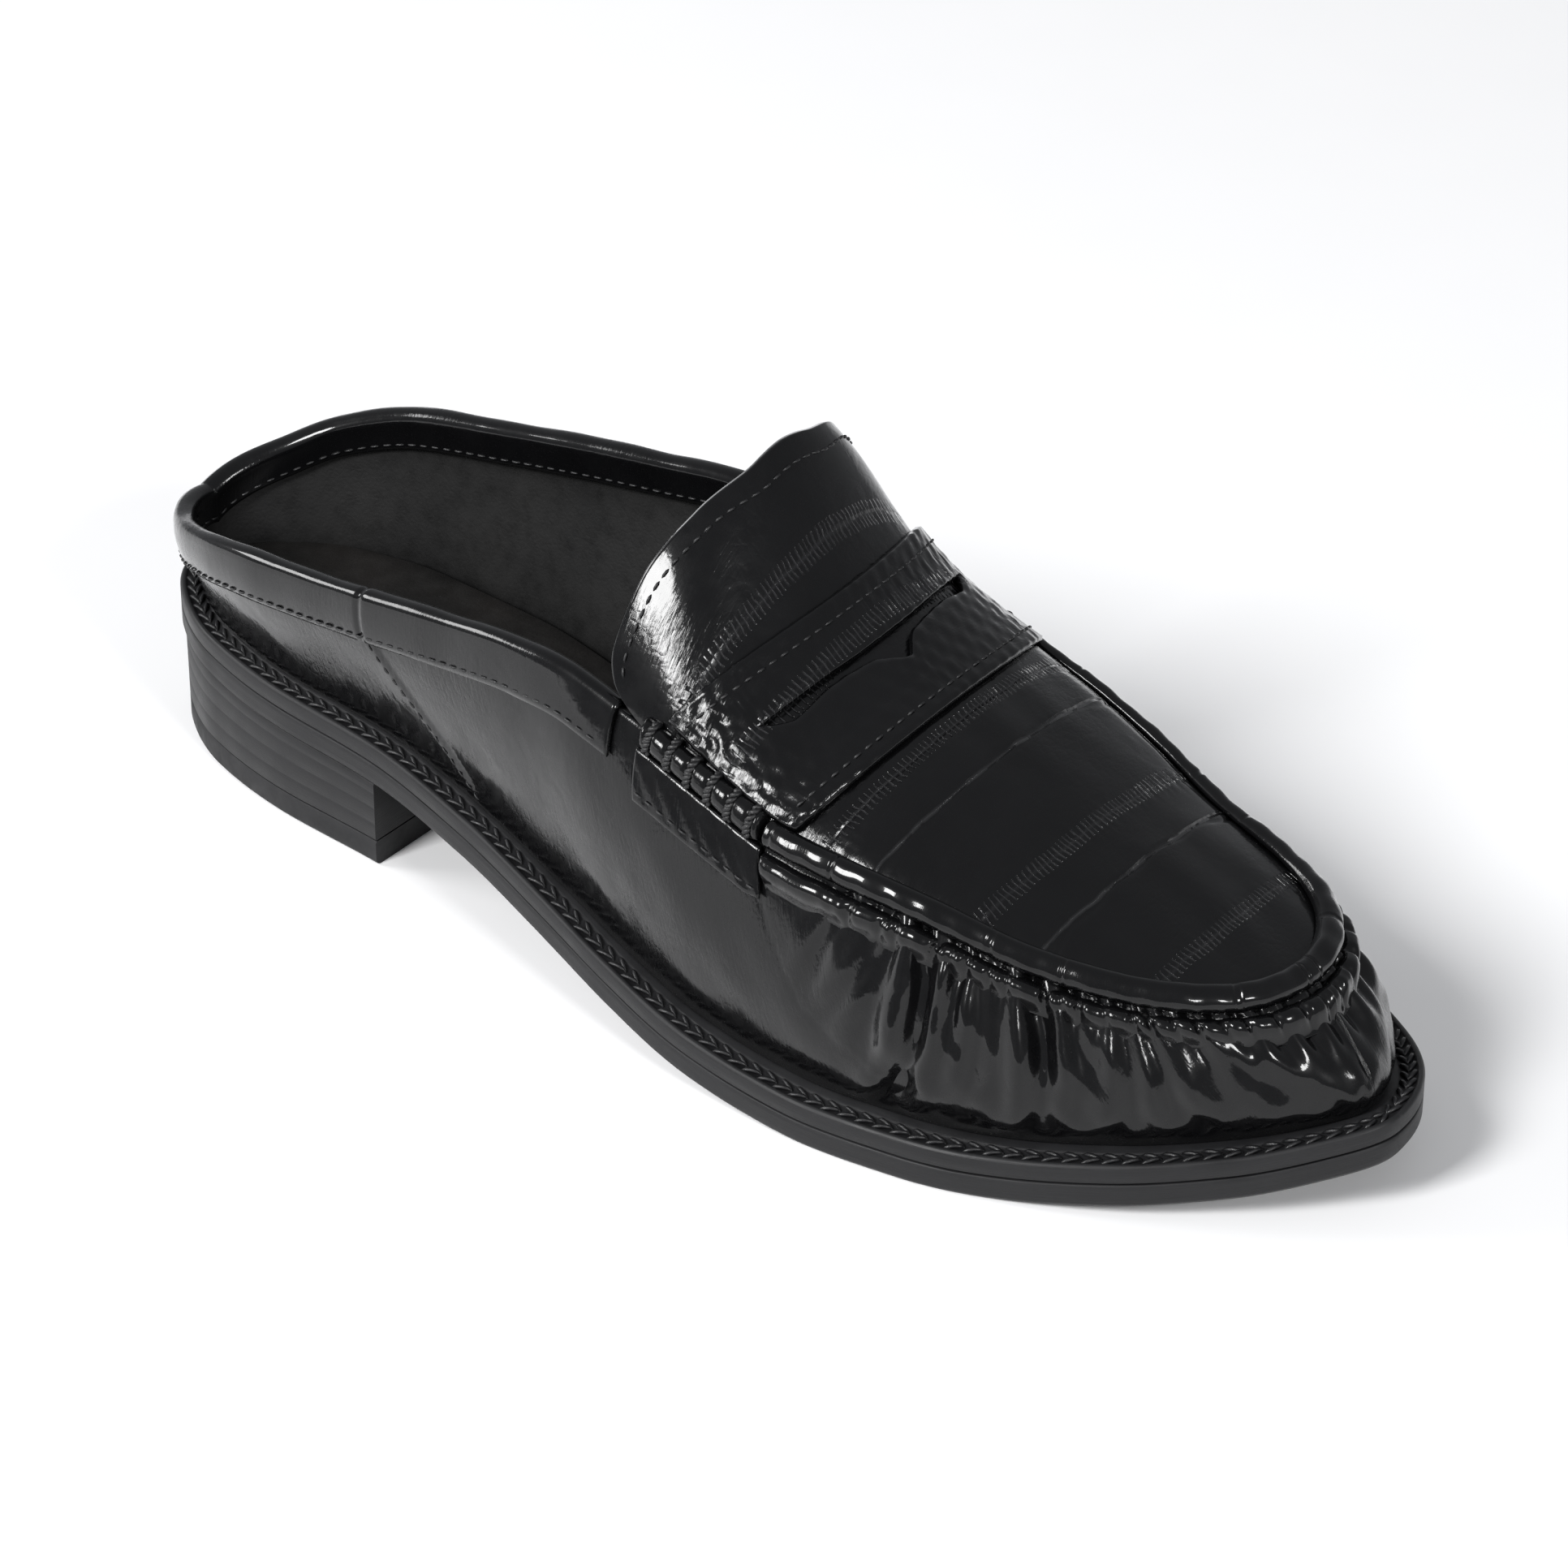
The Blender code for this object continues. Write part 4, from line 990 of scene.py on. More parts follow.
def make_ridges():
    """The two rolls of the apron seam, plain inside and puckered outside, with the groove between them."""
    ring = seam_ring(1300)
    run, medial = run_at(ring)[:, None], (ring > SKIN.last)[:, None]
    across, height = bead(15)
    cuts = 1.0 - 0.10 * rib(np.sin(run * 300.0 + 1.7 * np.sin(run * 150.0)) - 1.0, 0.02)
    swell = (1.0 + 0.05 * np.sin(run * 430.0) + 0.03 * np.sin(run * 1130.0 + across)) * cuts
    ends = ramp(run, SEAM_REACH - 0.0005, SEAM_REACH + 0.0035)
    inner = raised(ring, (-0.02 + 0.235 * across) * RIDGE_WIDTH, RIDGE_HEIGHT * height * swell * (0.55 + 0.45 * ends))
    tube("seam_roll", inner, LOOK["trim"], ["apron_seam"], flow=ring_flow(inner, ring))
    fold = gathers(run, across[None, :], medial)
    low = across < 0.0
    reach = np.where(low, 0.40, 0.225)[None, :] + 0.02 * (fold - 0.8)
    back = np.where(low, (0.5 + 0.5 * np.cos(np.pi * across)) ** 0.8, height)
    places = (-0.555 - 0.008 * np.sin(run * 700.0) + reach * across[None, :]) * RIDGE_WIDTH
    outer = raised(ring, places, RIDGE_HEIGHT * 0.98 * back * fold * (0.35 + 0.65 * ends), 0.0)
    tube("seam_gathers", outer, LOOK["trim"], ["apron_seam"], flow=ring_flow(outer, ring))


def ring_flow(sections, ring):
    """Flow of sections that follow the ring: along, round the section."""
    run = np.where(np.asarray(ring) % SKIN.count > SKIN.last, -1.0, 1.0) * run_at(np.asarray(ring) % SKIN.count)
    round_it = run_length(sections)
    return np.stack([np.broadcast_to(run[:, None], round_it.shape), round_it, 0.0 * round_it], axis=-1).reshape(-1, 3)


ROLL_WRAPS = 6


def roll_ring(side, steps):
    start = SKIN.column_at(THROAT_Y - ROLL_END_GAP)
    end = SKIN.column_at(THROAT_Y - SEAM_REACH)
    return SKIN.ring(side, np.linspace(start, end, steps))


def roll_heights(share):
    """Height of the roll along its length, drawn in under the wraps and rounded at its ends."""
    beat = share * ROLL_WRAPS - np.round(share * ROLL_WRAPS - 0.5) - 0.5
    valley = rib(beat, 0.17)
    ends = np.sqrt(np.clip(1.0 - (1.0 - np.minimum(np.minimum(share, 1.0 - share) / 0.05, 1.0)) ** 2, 0.05, 1.0))
    return ROLL_HEIGHT * (1.0 - 0.26 * valley) * ends


def make_rolls(side):
    """Thick rolled stretch of the seam with its wraps of thread."""
    ring = roll_ring(side, 240)
    share = np.linspace(0.0, 1.0, 240)
    across, height = bead(17)
    high = roll_heights(share)[:, None]
    narrow = 0.46 + 0.04 * high / ROLL_HEIGHT
    sections = raised(ring, ROLL_WIDTH * narrow * across[None, :], high * height)
    tube("beefroll_" + side + "_leather", sections, LOOK["trim"], ["beefroll_" + side],
         flow=ring_flow(sections, ring))
    groups = []
    lap = np.linspace(-1.0, 1.0, 27)
    arch = np.maximum(1.0 - np.abs(np.clip(lap / 0.93, -1.0, 1.0)) ** 2.3, 0.0) ** (1.0 / 2.3)
    for wrap in range(ROLL_WRAPS):
        centre = (wrap + 0.5) / ROLL_WRAPS
        low = float(roll_heights(np.array([centre]))[0])
        middle = float(np.interp(centre, share, ring)) + (lap * 0.5 if side == "lateral" else -lap * 0.5)
        base, normals = SKIN.at(middle, (lap * 0.60 * ROLL_WIDTH)[:, None])
        base, normals = base[:, 0], normals[:, 0]
        along = unit(np.cross(normals, np.gradient(base + normals * low * arch[:, None], axis=0)))
        for ply in (0.0, math.pi):
            twist = lap * 3.6 * math.pi + ply + wrap
            lift = GAP + low * arch + WRAP_THREAD * (0.35 + 0.85 * np.sin(twist))
            path = base + normals * lift[:, None] + along * (WRAP_THREAD * 0.95 * np.cos(twist))[:, None]
            groups.append((path[None], normals[None]))
    add_strands("beefroll_" + side + "_thread", groups, LOOK["thread"], WRAP_THREAD)


def strap_y(degrees, share):
    bow = 1.0 - np.sin(np.radians(degrees))
    middle = THROAT_REACH + STRAP_SETBACK
    back = middle - STRAP_BOW * bow
    front = middle + STRAP_WIDTH - STRAP_END_BOW * bow
    return LENGTH / 2.0 - (back + (front - back) * share)


def strap_span():
    """Degrees at which the strap stops short of the roll on each side."""
    clear = ROLL_WIDTH * 0.5 + 2.0 * GAP
    ends = []
    for side in SIDES:
        column = SKIN.ring(side, SKIN.column_at(strap_y(0.0, 0.5)))
        _, _, lengths = SKIN.blend([column])
        ends.append(float(np.interp(clear, lengths[0, WALL_STEPS:], SKIN.degrees)))
    return ends[0], 180.0 - ends[1]


STRAP_COLUMNS = 190
STRAP_ROWS = 14
STRAP_LINES = table("share depth ticks", [
    (0.17, 0.3, 1.0),
    (0.72, 0.9, 0.0),
    (0.86, 0.6, 0.5),
])


def strap_relief(points, share, degrees):
    """Pressed lines and small creases of the strap."""
    relief = 0.00010 * np.sin(degrees * 0.9 + 5.0 * share) * np.sin(share * 21.0 + degrees * 0.13)
    creased = rib(degrees - 20.0, 16.0) + 0.6 * rib(degrees - 160.0, 14.0)
    relief = relief + creased * 0.00016 * np.sin(share * 44.0 + 2.5 * np.sin(degrees * 0.33))
    for row in range(len(STRAP_LINES["share"])):
        away = (share - STRAP_LINES["share"][row]) * STRAP_WIDTH
        relief = relief - PRESS_DEPTH * STRAP_LINES["depth"][row] * rib(away, PRESS_WIDTH)
        beat = np.sin(degrees * 5.2 + 2.0 * np.sin(degrees * 0.7))
        ticks = STRAP_LINES["ticks"][row] * rib(away, TICK_REACH) * np.maximum(beat, 0.0) ** 2
        relief = relief - 0.6 * PRESS_DEPTH * ticks
    return relief


def make_strap():
    """Saddle strap over the instep with its cut-out."""
    start, end = strap_span()
    slot = (SLOT["degrees"][0], SLOT["degrees"][-1])
    degrees = np.unique(np.concatenate([np.linspace(start, end, STRAP_COLUMNS), slot]))
    rows = np.linspace(0.0, 1.0, STRAP_ROWS + 1)
    edges = [smooth(SLOT["degrees"], SLOT[name], degrees)[:, None] for name in ("back", "front")]
    shares = [edges[0] * rows, edges[1] + (1.0 - edges[1]) * rows]
    outer, inner, grids, count = [], [], [], 0
    for block in shares:
        over = np.broadcast_to(degrees[:, None], block.shape)
        points, normals = SKIN.apron_at(strap_y(over, block), over)
        lift = STRAP_THICKNESS + strap_relief(points, block, over)
        inner.append((points + normals * GAP).reshape(-1, 3))
        outer.append((points + normals * (GAP + lift[..., None])).reshape(-1, 3))
        grids.append(np.arange(count, count + block.size).reshape(block.shape))
        count += block.size
    closed = (degrees <= slot[0]) | (degrees >= slot[1])
    grids[1][closed, 0] = grids[0][closed, -1]
    faces = np.concatenate([grid_faces(grids[0]), grid_faces(grids[1])]).tolist()
    outer, inner = np.concatenate(outer), np.concatenate(inner)
    flow = np.column_stack([outer[:, 1], outer[:, 0], outer[:, 2] * 0.0])
    thick_sheet("strap", outer, inner, faces, LOOK["pressed_with_painted_highlight"], ["saddle_strap"], flow)
    groups = []
    for share in (0.095, 0.905):
        line = np.linspace(start + 1.5, end - 1.5, 240)
        points, normals = SKIN.apron_at(strap_y(line, share), line)
        points = points + normals * (GAP + STRAP_THICKNESS)
        groups.append(stitches(points, normals, 0.0026, 0.0020))
    add_strands("strap_stitches", groups, LOOK["thread"], THREAD * 0.8)


def make_tab(side):
    """Stitched strip on the wall under the roll."""
    ring = roll_ring(side, 90)
    top = ROLL_WIDTH / 2.0 + 2.0 * GAP
    share = np.linspace(0.0, 1.0, 90)[:, None]
    rows = np.linspace(0.0, 1.0, 15)[None, :]
    far = 0.06 * ramp(share, 0.90, 1.0) * TAB_WIDTH
    drop = top + TAB_WIDTH * (1.0 - rows) - far * (1.0 - rows)
    base, normals = SKIN.at(ring, -drop)
    creases = 0.00005 * np.sin(share * 31.0 + 5.0 * rows) * np.sin(rows * 5.0 + share * 9.0)
    outer = base + normals * (GAP + TAB_THICKNESS + creases)[..., None]
    inner = base + normals * GAP
    grid = np.arange(outer.shape[0] * outer.shape[1]).reshape(outer.shape[:2])
    run = run_at(ring)[:, None]
    flow = np.stack([run + 0.0 * drop, drop, 0.0 * drop], axis=-1).reshape(-1, 3)
    thick_sheet("tab_" + side, outer.reshape(-1, 3), inner.reshape(-1, 3), grid_faces(grid).tolist(),
                LOOK["trim"], ["side_tab_" + side], flow)
    low = top + TAB_WIDTH - 0.0016
    points, normals = SKIN.at(ring, np.full((90, 1), -low))
    points = points + normals * (GAP + TAB_THICKNESS)
    add_strands("tab_stitches_" + side, [stitches(points[:, 0], normals[:, 0], 0.0026, 0.0020)],
                LOOK["thread"], THREAD * 0.8)


def binding_ring(steps):
    end = float(SKIN.column_at(THROAT_Y + BINDING_END_GAP))
    return np.linspace(end, -end, steps)


BINDING_JOINT = 0.2525


def make_binding():
    """Folded binding of the collar from throat to throat round the heel."""
    ring = binding_ring(640)
    near, far = BINDING_CLEARANCE, BINDING_CLEARANCE + BINDING_THICKNESS
    head, normal = SKIN.at(ring, np.zeros((len(ring), 1)))
    head, normal = head[:, 0], normal[:, 0]
    below, _ = SKIN.at(ring, np.full((len(ring), 1), -BINDING_OUTER / 4.0))
    up = unit(head - below[:, 0])
    along = along_at(head[:, 1])
    lateral = ring > 0
    groove = np.where(lateral, rib((along - BINDING_JOINT) * LENGTH, 0.0005), 0.0) * 0.00045
    step = np.where(lateral, ramp(along - BINDING_JOINT, -0.001, 0.001), 1.0) * 0.00012
    wave = 0.00005 * np.sin(run_at(ring % SKIN.count) * 430.0) + 0.00006 * np.sin(run_at(ring % SKIN.count) * 173.0)
    thick = far - groove + step + wave - 0.00012

    def rows(drops, inside):
        points, turned = SKIN.at(ring, -np.asarray(drops)[None, :])
        return (points - turned * UPPER_WALL if inside else points), turned * (-1.0 if inside else 1.0)

    outer_drop = BINDING_OUTER * np.array([1.0, 0.97, 0.85, 0.7, 0.55, 0.4, 0.25, 0.1])
    inner_drop = BINDING_INNER * np.array([0.12, 0.3, 0.5, 0.7, 0.88, 0.98, 1.0])
    crown = np.array([0.55, 0.92, 1.0, 1.0, 1.0, 1.0, 1.0, 1.0])
    section = []
    points, turned = rows(outer_drop, False)
    lift = near + (thick[:, None] - near) * crown[None, :]
    section += list(np.moveaxis(points + turned * lift[..., None], 1, 0))
    centre = head - normal * UPPER_WALL / 2.0
    for angle in np.radians([0, 30, 60, 90, 120, 150, 180]):
        out = (UPPER_WALL / 2.0 + thick) * math.cos(angle)
        rise = (thick + BINDING_CROWN) * math.sin(angle)
        section.append(centre + normal * out[:, None] + up * rise[:, None])
    points, turned = rows(inner_drop, True)
    section += list(np.moveaxis(points + turned * (near + (thick[:, None] - near) * crown[::-1][1:])[..., None], 1, 0))
    points, turned = rows(inner_drop[::-2], True)
    section += list(np.moveaxis(points + turned * near, 1, 0))
    for angle in np.radians([180, 90, 0]):
        out = (UPPER_WALL / 2.0 + near) * math.cos(angle)
        section.append(centre + normal * out + up * near * math.sin(angle))
    points, turned = rows(outer_drop[::-2], False)
    section += list(np.moveaxis(points + turned * near, 1, 0))
    sections = np.stack(section, axis=1)
    tube("binding", sections, LOOK["trim"], ["collar_binding"], flow=ring_flow(sections, ring))
    groups = []
    for drop, inside in ((BINDING_OUTER - 0.0014, False), (BINDING_INNER - 0.0012, True)):
        points, turned = rows([drop], inside)
        points = points[:, 0] + turned[:, 0] * (far - 0.00002)
        groups.append(stitches(points[4:-4], turned[4:-4, 0], 0.0027, 0.0020))
    add_strands("binding_stitches", groups, LOOK["thread"], THREAD * 0.8)


def tongue_stitches():
    """Row of stitches along the free edge of the tongue."""
    over = np.linspace(10.0, 170.0, 260)
    reach = TONGUE_REACH * smooth(TONGUE_EDGE["degrees"], TONGUE_EDGE["reach"], over) - 0.0028
    left = np.sign(90.0 - over) * np.abs(np.cos(np.radians(over))) ** (2.0 / APRON_ROUNDNESS)

    def place(share, y):
        outer, inner = seam_line("lateral", y)[:, 0], seam_line("medial", y)[:, 0]
        return apron_surface((outer + inner) / 2.0 - (inner - outer) / 2.0 * share, y)

    y = THROAT_Y + reach
    points = place(left, y)
    normals = unit(np.cross(place(left - 0.01, y) - points, place(left, y - 0.0005) - points))
    normals *= np.sign(normals[:, 2:3])
    add_strands("tongue_stitches", [stitches(points + normals * 0.0001, normals, 0.0026, 0.0020)],
                LOOK["thread"], THREAD * 0.8)


def counter_stitches():
    """A row of stitches down the back seam of the wall on each side."""
    up = np.linspace(0.04, 0.80, 60)
    groups = []
    for side in SIDES:
        for shift in (-0.0014,):
            along = smooth(COUNTER_SEAM["up"], COUNTER_SEAM["along"], up) + shift / LENGTH
            ring = SKIN.ring(side, SKIN.column_at(LENGTH * (0.5 - along)))
            points, normals, _ = SKIN.blend(ring)
            row = up * WALL_STEPS
            low = np.floor(row).astype(int)
            share = (row - low)[:, None]
            column = np.arange(len(up))
            line = (1.0 - share) * points[column, low] + share * points[column, low + 1]
            turned = unit(normals[column, low])
            groups.append(stitches(line + turned * SEAM_STEP, turned, 0.0024, 0.0018, THREAD * 0.3))
    add_strands("counter_stitches", groups, LOOK["thread"], THREAD * 0.6)


def plate(name, turns, levels, finish, nodes, height=bed_height, sharp=None):
    """Closed piece in the plan of the sole: levels are insets from its edge and rises over a height."""
    points, loops, ladders, flow = [], [], [], []
    for inset, rise in levels:
        start = len(points)
        for side in SIDES:
            plan = sole_edge(side, turns) - outward(side, turns) * np.broadcast_to(inset, turns.shape)[:, None]
            points.extend(np.column_stack([plan, height(plan[:, 1]) + rise]))
            run = run_length(sole_edge(side, turns)) * SIGN[side]
            flow.extend(np.column_stack([run, np.full(len(run), rise), np.broadcast_to(inset, run.shape)]))
        count = len(turns)
        lateral = np.arange(start, start + count)
        medial = np.arange(start + count, start + 2 * count)
        loops.append(np.concatenate([lateral, medial[::-1]]))
        ladders.append(np.stack([lateral, medial], axis=1))
    faces = [np.stack([np.roll(low, 1), low, high, np.roll(high, 1)], axis=1) for low, high in zip(loops, loops[1:])]
    faces.append(grid_faces(ladders[0]))
    faces.append(grid_faces(ladders[-1])[:, ::-1])
    points, flow = np.array(points), np.array(flow)
    keys = np.round(points * 1e6).astype(np.int64)
    _, first, index = np.unique(keys, axis=0, return_index=True, return_inverse=True)
    faces = tidy_faces(index.reshape(-1)[np.concatenate(faces)])
    return add_mesh(name, points[first], faces, finish, nodes, flow[first], sharp)


def make_sole():
    """Welt with its stitched groove, outsole, heel block of stacked lifts and top lift."""
    turns = np.linspace(0.0, np.pi, SOLE_STEPS + 1)
    t = WELT_THICKNESS
    welt = [(0.0060, -t), (0.0003, -t), (0.0, -t + 0.0002), (0.0, -t + 0.0016), (0.0, -0.0008)]
    welt += [(0.0001, -0.0005), (0.0004, -0.0001), (0.0007, 0.0), (0.0010, 0.0), (0.0012, -0.0002)]
    welt += [(0.0014, -0.0004), (0.0040, -0.0004), (0.0043, -0.0002), (0.0046, 0.0), (0.0090, 0.0)]
    plate("welt_strip", turns, welt, LOOK["edge"], ["welt"])
    top = OUTSOLE_THICKNESS
    sole = [(0.0060, 0.0), (0.0012, 0.0), (0.0004, 0.0002), (0.0, 0.0008), (0.0, 0.0018), (0.0, top - 0.0012)]
    sole += [(0.0, top - 0.0002), (0.0002, top), (0.0060, top)]
    plate("outsole_edge", turns, sole, LOOK["edge"], ["outsole"],
          lambda y: bed_height(y) - SOLE_THICKNESS)
    turns = np.linspace(0.0, float(turn_at(HEEL_LENGTH / LENGTH)), HEEL_STEPS + 1)
    stack = heel_levels()
    base = TOP_LIFT_THICKNESS + GAP

    def lifted(share):
        return lambda y: base + (bed_height(y) - SOLE_THICKNESS - GAP - base) * share

    heel_plate("heel_stack", turns, stack, lifted, LOOK["edge"], ["heel_block"])
    lift = [(HEEL_INSET + 0.0010, 0.0), (HEEL_INSET + 0.0003, 0.0003), (HEEL_INSET, 0.0009)]
    lift += [(HEEL_INSET, TOP_LIFT_THICKNESS - 0.0004), (HEEL_INSET + 0.0003, TOP_LIFT_THICKNESS)]
    plate("top_lift", turns, lift, LOOK["rubber"], ["heel_top_lift"],
          lambda y: np.zeros(len(y)), sharp=50.0)


def heel_levels():
    """Insets and shares of the height of the heel block, with shallow lines between its lifts."""
    levels = [(HEEL_INSET + 0.0002, 0.0), (HEEL_INSET, 0.02)]
    for seam in (0.28, 0.56, 0.82):
        levels += [(HEEL_INSET, seam - 0.015), (HEEL_INSET + 0.00007, seam), (HEEL_INSET, seam + 0.015)]
    return levels + [(HEEL_INSET, 0.98), (HEEL_INSET + 0.0002, 1.0)]


def heel_plate(name, turns, levels, lifted, finish, nodes):
    """The heel block, whose top follows the sole and whose foot is level."""
    points, loops, ladders, flow = [], [], [], []
    for inset, share in levels:
        start = len(points)
        for side in SIDES:
            plan = sole_edge(side, turns) - outward(side, turns) * inset
            points.extend(np.column_stack([plan, lifted(share)(plan[:, 1])]))
            run = run_length(sole_edge(side, turns)) * SIGN[side]
            flow.extend(np.column_stack([run, lifted(share)(plan[:, 1]), 0.0 * run]))
        count = len(turns)
        lateral = np.arange(start, start + count)
        medial = np.arange(start + count, start + 2 * count)
        loops.append(np.concatenate([lateral, medial[::-1]]))
        ladders.append(np.stack([lateral, medial], axis=1))
    faces = [np.stack([np.roll(low, 1), low, high, np.roll(high, 1)], axis=1) for low, high in zip(loops, loops[1:])]
    faces.append(grid_faces(ladders[0]))
    faces.append(grid_faces(ladders[-1])[:, ::-1])
    points, flow = np.array(points), np.array(flow)
    keys = np.round(points * 1e6).astype(np.int64)
    _, first, index = np.unique(keys, axis=0, return_index=True, return_inverse=True)
    faces = tidy_faces(index.reshape(-1)[np.concatenate(faces)])
    return add_mesh(name, points[first], faces, finish, nodes, flow[first], 50.0)


def make_insole():
    turns = np.linspace(0.0, np.pi, SOLE_STEPS + 1)
    edge = welt_margin(turns) + UPPER_WALL + INSOLE_CLEARANCE
    high = INSOLE_THICKNESS
    levels = [(edge, GAP), (edge, high * 0.6), (edge + 0.0004, high * 0.9), (edge + 0.0012, high + GAP)]
    levels += [(edge + 0.0040, high + GAP), (edge + 0.0090, high + GAP)]
    plate("insole_cover", turns, levels, LOOK["insole"], ["insole"])


def welt_stitches():
    """Plaited stitches in the groove of the welt, all round."""
    turns = np.linspace(0.0, np.pi, 900)
    groups = []
    for side in SIDES:
        edge = sole_edge(side, turns)
        away = outward(side, turns)
        run = run_length(edge)
        number = int(float(run[-1]) / WELT_STITCH)
        starts = (np.arange(number) + 0.5) * float(run[-1]) / number
        for lean, inset in ((1.0, 0.00205), (-1.0, 0.00335)):
            step = np.linspace(-0.5, 0.5, 5)
            places = starts[:, None] + step[None, :] * WELT_STITCH * 1.05
            insets = inset + lean * step[None, :] * 0.0016 + 0.0 * places
            x = np.interp(places, run, edge[:, 0]) - np.interp(places, run, away[:, 0]) * insets
            y = np.interp(places, run, edge[:, 1]) - np.interp(places, run, away[:, 1]) * insets
            dip = np.array([-0.7, 0.2, 0.5, 0.2, -0.7])[None, :] * 0.00042
            z = bed_height(y) - 0.0004 + 0.0002 + dip
            path = np.stack([x, y, z], axis=-1)
            up = np.zeros_like(path)
            up[..., 2] = 1.0
            groups.append((path, up))
    add_strands("welt_stitches", groups, LOOK["welt_thread"], 0.00042)


class Finish:
    """Node tree of one material."""

    def __init__(self, name, **constants):
        self.made = bpy.data.materials.new(name)
        self.made.use_nodes = True
        self.tree = self.made.node_tree
        self.shader = self.tree.nodes["Principled BSDF"]
        for key, value in constants.items():
            self.shader.inputs[key.replace("_", " ")].default_value = value

    def node(self, kind, settings=(), **inputs):
        made = self.tree.nodes.new(kind)
        for key, value in dict(settings).items():
            setattr(made, key, value)
        for key, value in inputs.items():
            socket = made.inputs[int(key[1:])] if key[0] == "i" and key[1:].isdigit() else made.inputs[key]
            if isinstance(value, bpy.types.NodeSocket):
                self.tree.links.new(value, socket)
            else:
                socket.default_value = value
        return made

    def link(self, socket, name):
        self.tree.links.new(socket, self.shader.inputs[name])

    def flow(self, scale):
        """Coordinates that follow the leather, stretched by a scale for each axis."""
        source = self.node("ShaderNodeAttribute", {"attribute_name": "flow"})
        mapping = self.node("ShaderNodeMapping", Vector=source.outputs["Vector"])
        mapping.inputs["Scale"].default_value = scale
        return mapping.outputs["Vector"]

    def place(self, scale=(1.0, 1.0, 1.0)):
        source = self.node("ShaderNodeTexCoord")
        mapping = self.node("ShaderNodeMapping", Vector=source.outputs["Object"])
        mapping.inputs["Scale"].default_value = scale
        return mapping.outputs["Vector"]

    def noise(self, vector, scale, detail=3.0, roughness=0.5, distortion=0.0):
        made = self.node("ShaderNodeTexNoise", Vector=vector, Scale=scale, Detail=detail, Roughness=roughness,
                         Distortion=distortion)
        return made.outputs["Fac"]

    def cells(self, vector, scale):
        made = self.node("ShaderNodeTexVoronoi", {"feature": "DISTANCE_TO_EDGE"}, Vector=vector, Scale=scale)
        return made.outputs["Distance"]

    def span(self, value, low, high, start, end):
        made = self.node("ShaderNodeMapRange", i0=value, i1=low, i2=high, i3=start, i4=end)
        return made.outputs[0]

    def mix(self, share, first, second):
        made = self.node("ShaderNodeMix", {"data_type": "RGBA"}, i0=share)
        made.inputs[6].default_value = (*first, 1.0)
        made.inputs[7].default_value = (*second, 1.0)
        return made.outputs[2]

    def math(self, operation, first, second=0.0):
        return self.node("ShaderNodeMath", {"operation": operation}, i0=first, i1=second).outputs[0]

    def bump(self, height, strength, distance, below=None):
        made = self.node("ShaderNodeBump", Strength=strength, Distance=distance, Height=height)
        if below is not None:
            self.tree.links.new(below, made.inputs["Normal"])
        return made.outputs["Normal"]


def patent(name, crinkle, pressed_with_painted_highlight=False, colour=(0.0018, 0.0018, 0.0020), rough=(0.20, 0.36)):
    """Black leather under a glossy coat, finely creased along its flow."""
    f = Finish(name, IOR=1.5, Specular_IOR_Level=0.08, Coat_Weight=1.0, Coat_Roughness=0.035, Coat_IOR=1.36)
    flat = f.place()
    cloud = f.noise(flat, 70.0, 3.0)
    f.link(f.mix(cloud, colour, tuple(2.2 * part for part in colour)), "Base Color")
    f.link(f.span(f.noise(flat, 260.0, 4.0), 0.3, 0.7, *rough), "Roughness")
    broad = f.noise(flat, 120.0, 2.0, 0.5, 0.6)
    lines = f.noise(f.flow((1900.0, 260.0, 900.0)), 1.0, 4.0, 0.62, 0.5)
    cells = f.cells(f.noise_vector(flat, 0.0014), 520.0)
    patch = f.span(f.noise(flat, 45.0, 2.0), 0.42, 0.62, 0.15, 1.0)
    first = f.bump(broad, 0.4, 0.0004 * crinkle)
    second = f.bump(f.product(lines, patch), 0.5, 0.00014 * crinkle, first)
    third = f.bump(f.product(f.span(cells, 0.0, 0.22, 0.0, 1.0), patch), 0.25, 0.00006 * crinkle, second)
    # Pressed lines, with a painted highlight that lightens the base colour along them.
    if pressed_with_painted_highlight:
        third = pressed(f, flat, third)
    coat = f.bump(f.noise(flat, 1500.0, 2.0), 0.10, 0.00003, third)
    f.link(coat, "Normal")
    f.link(third, "Coat Normal")
    return f.made


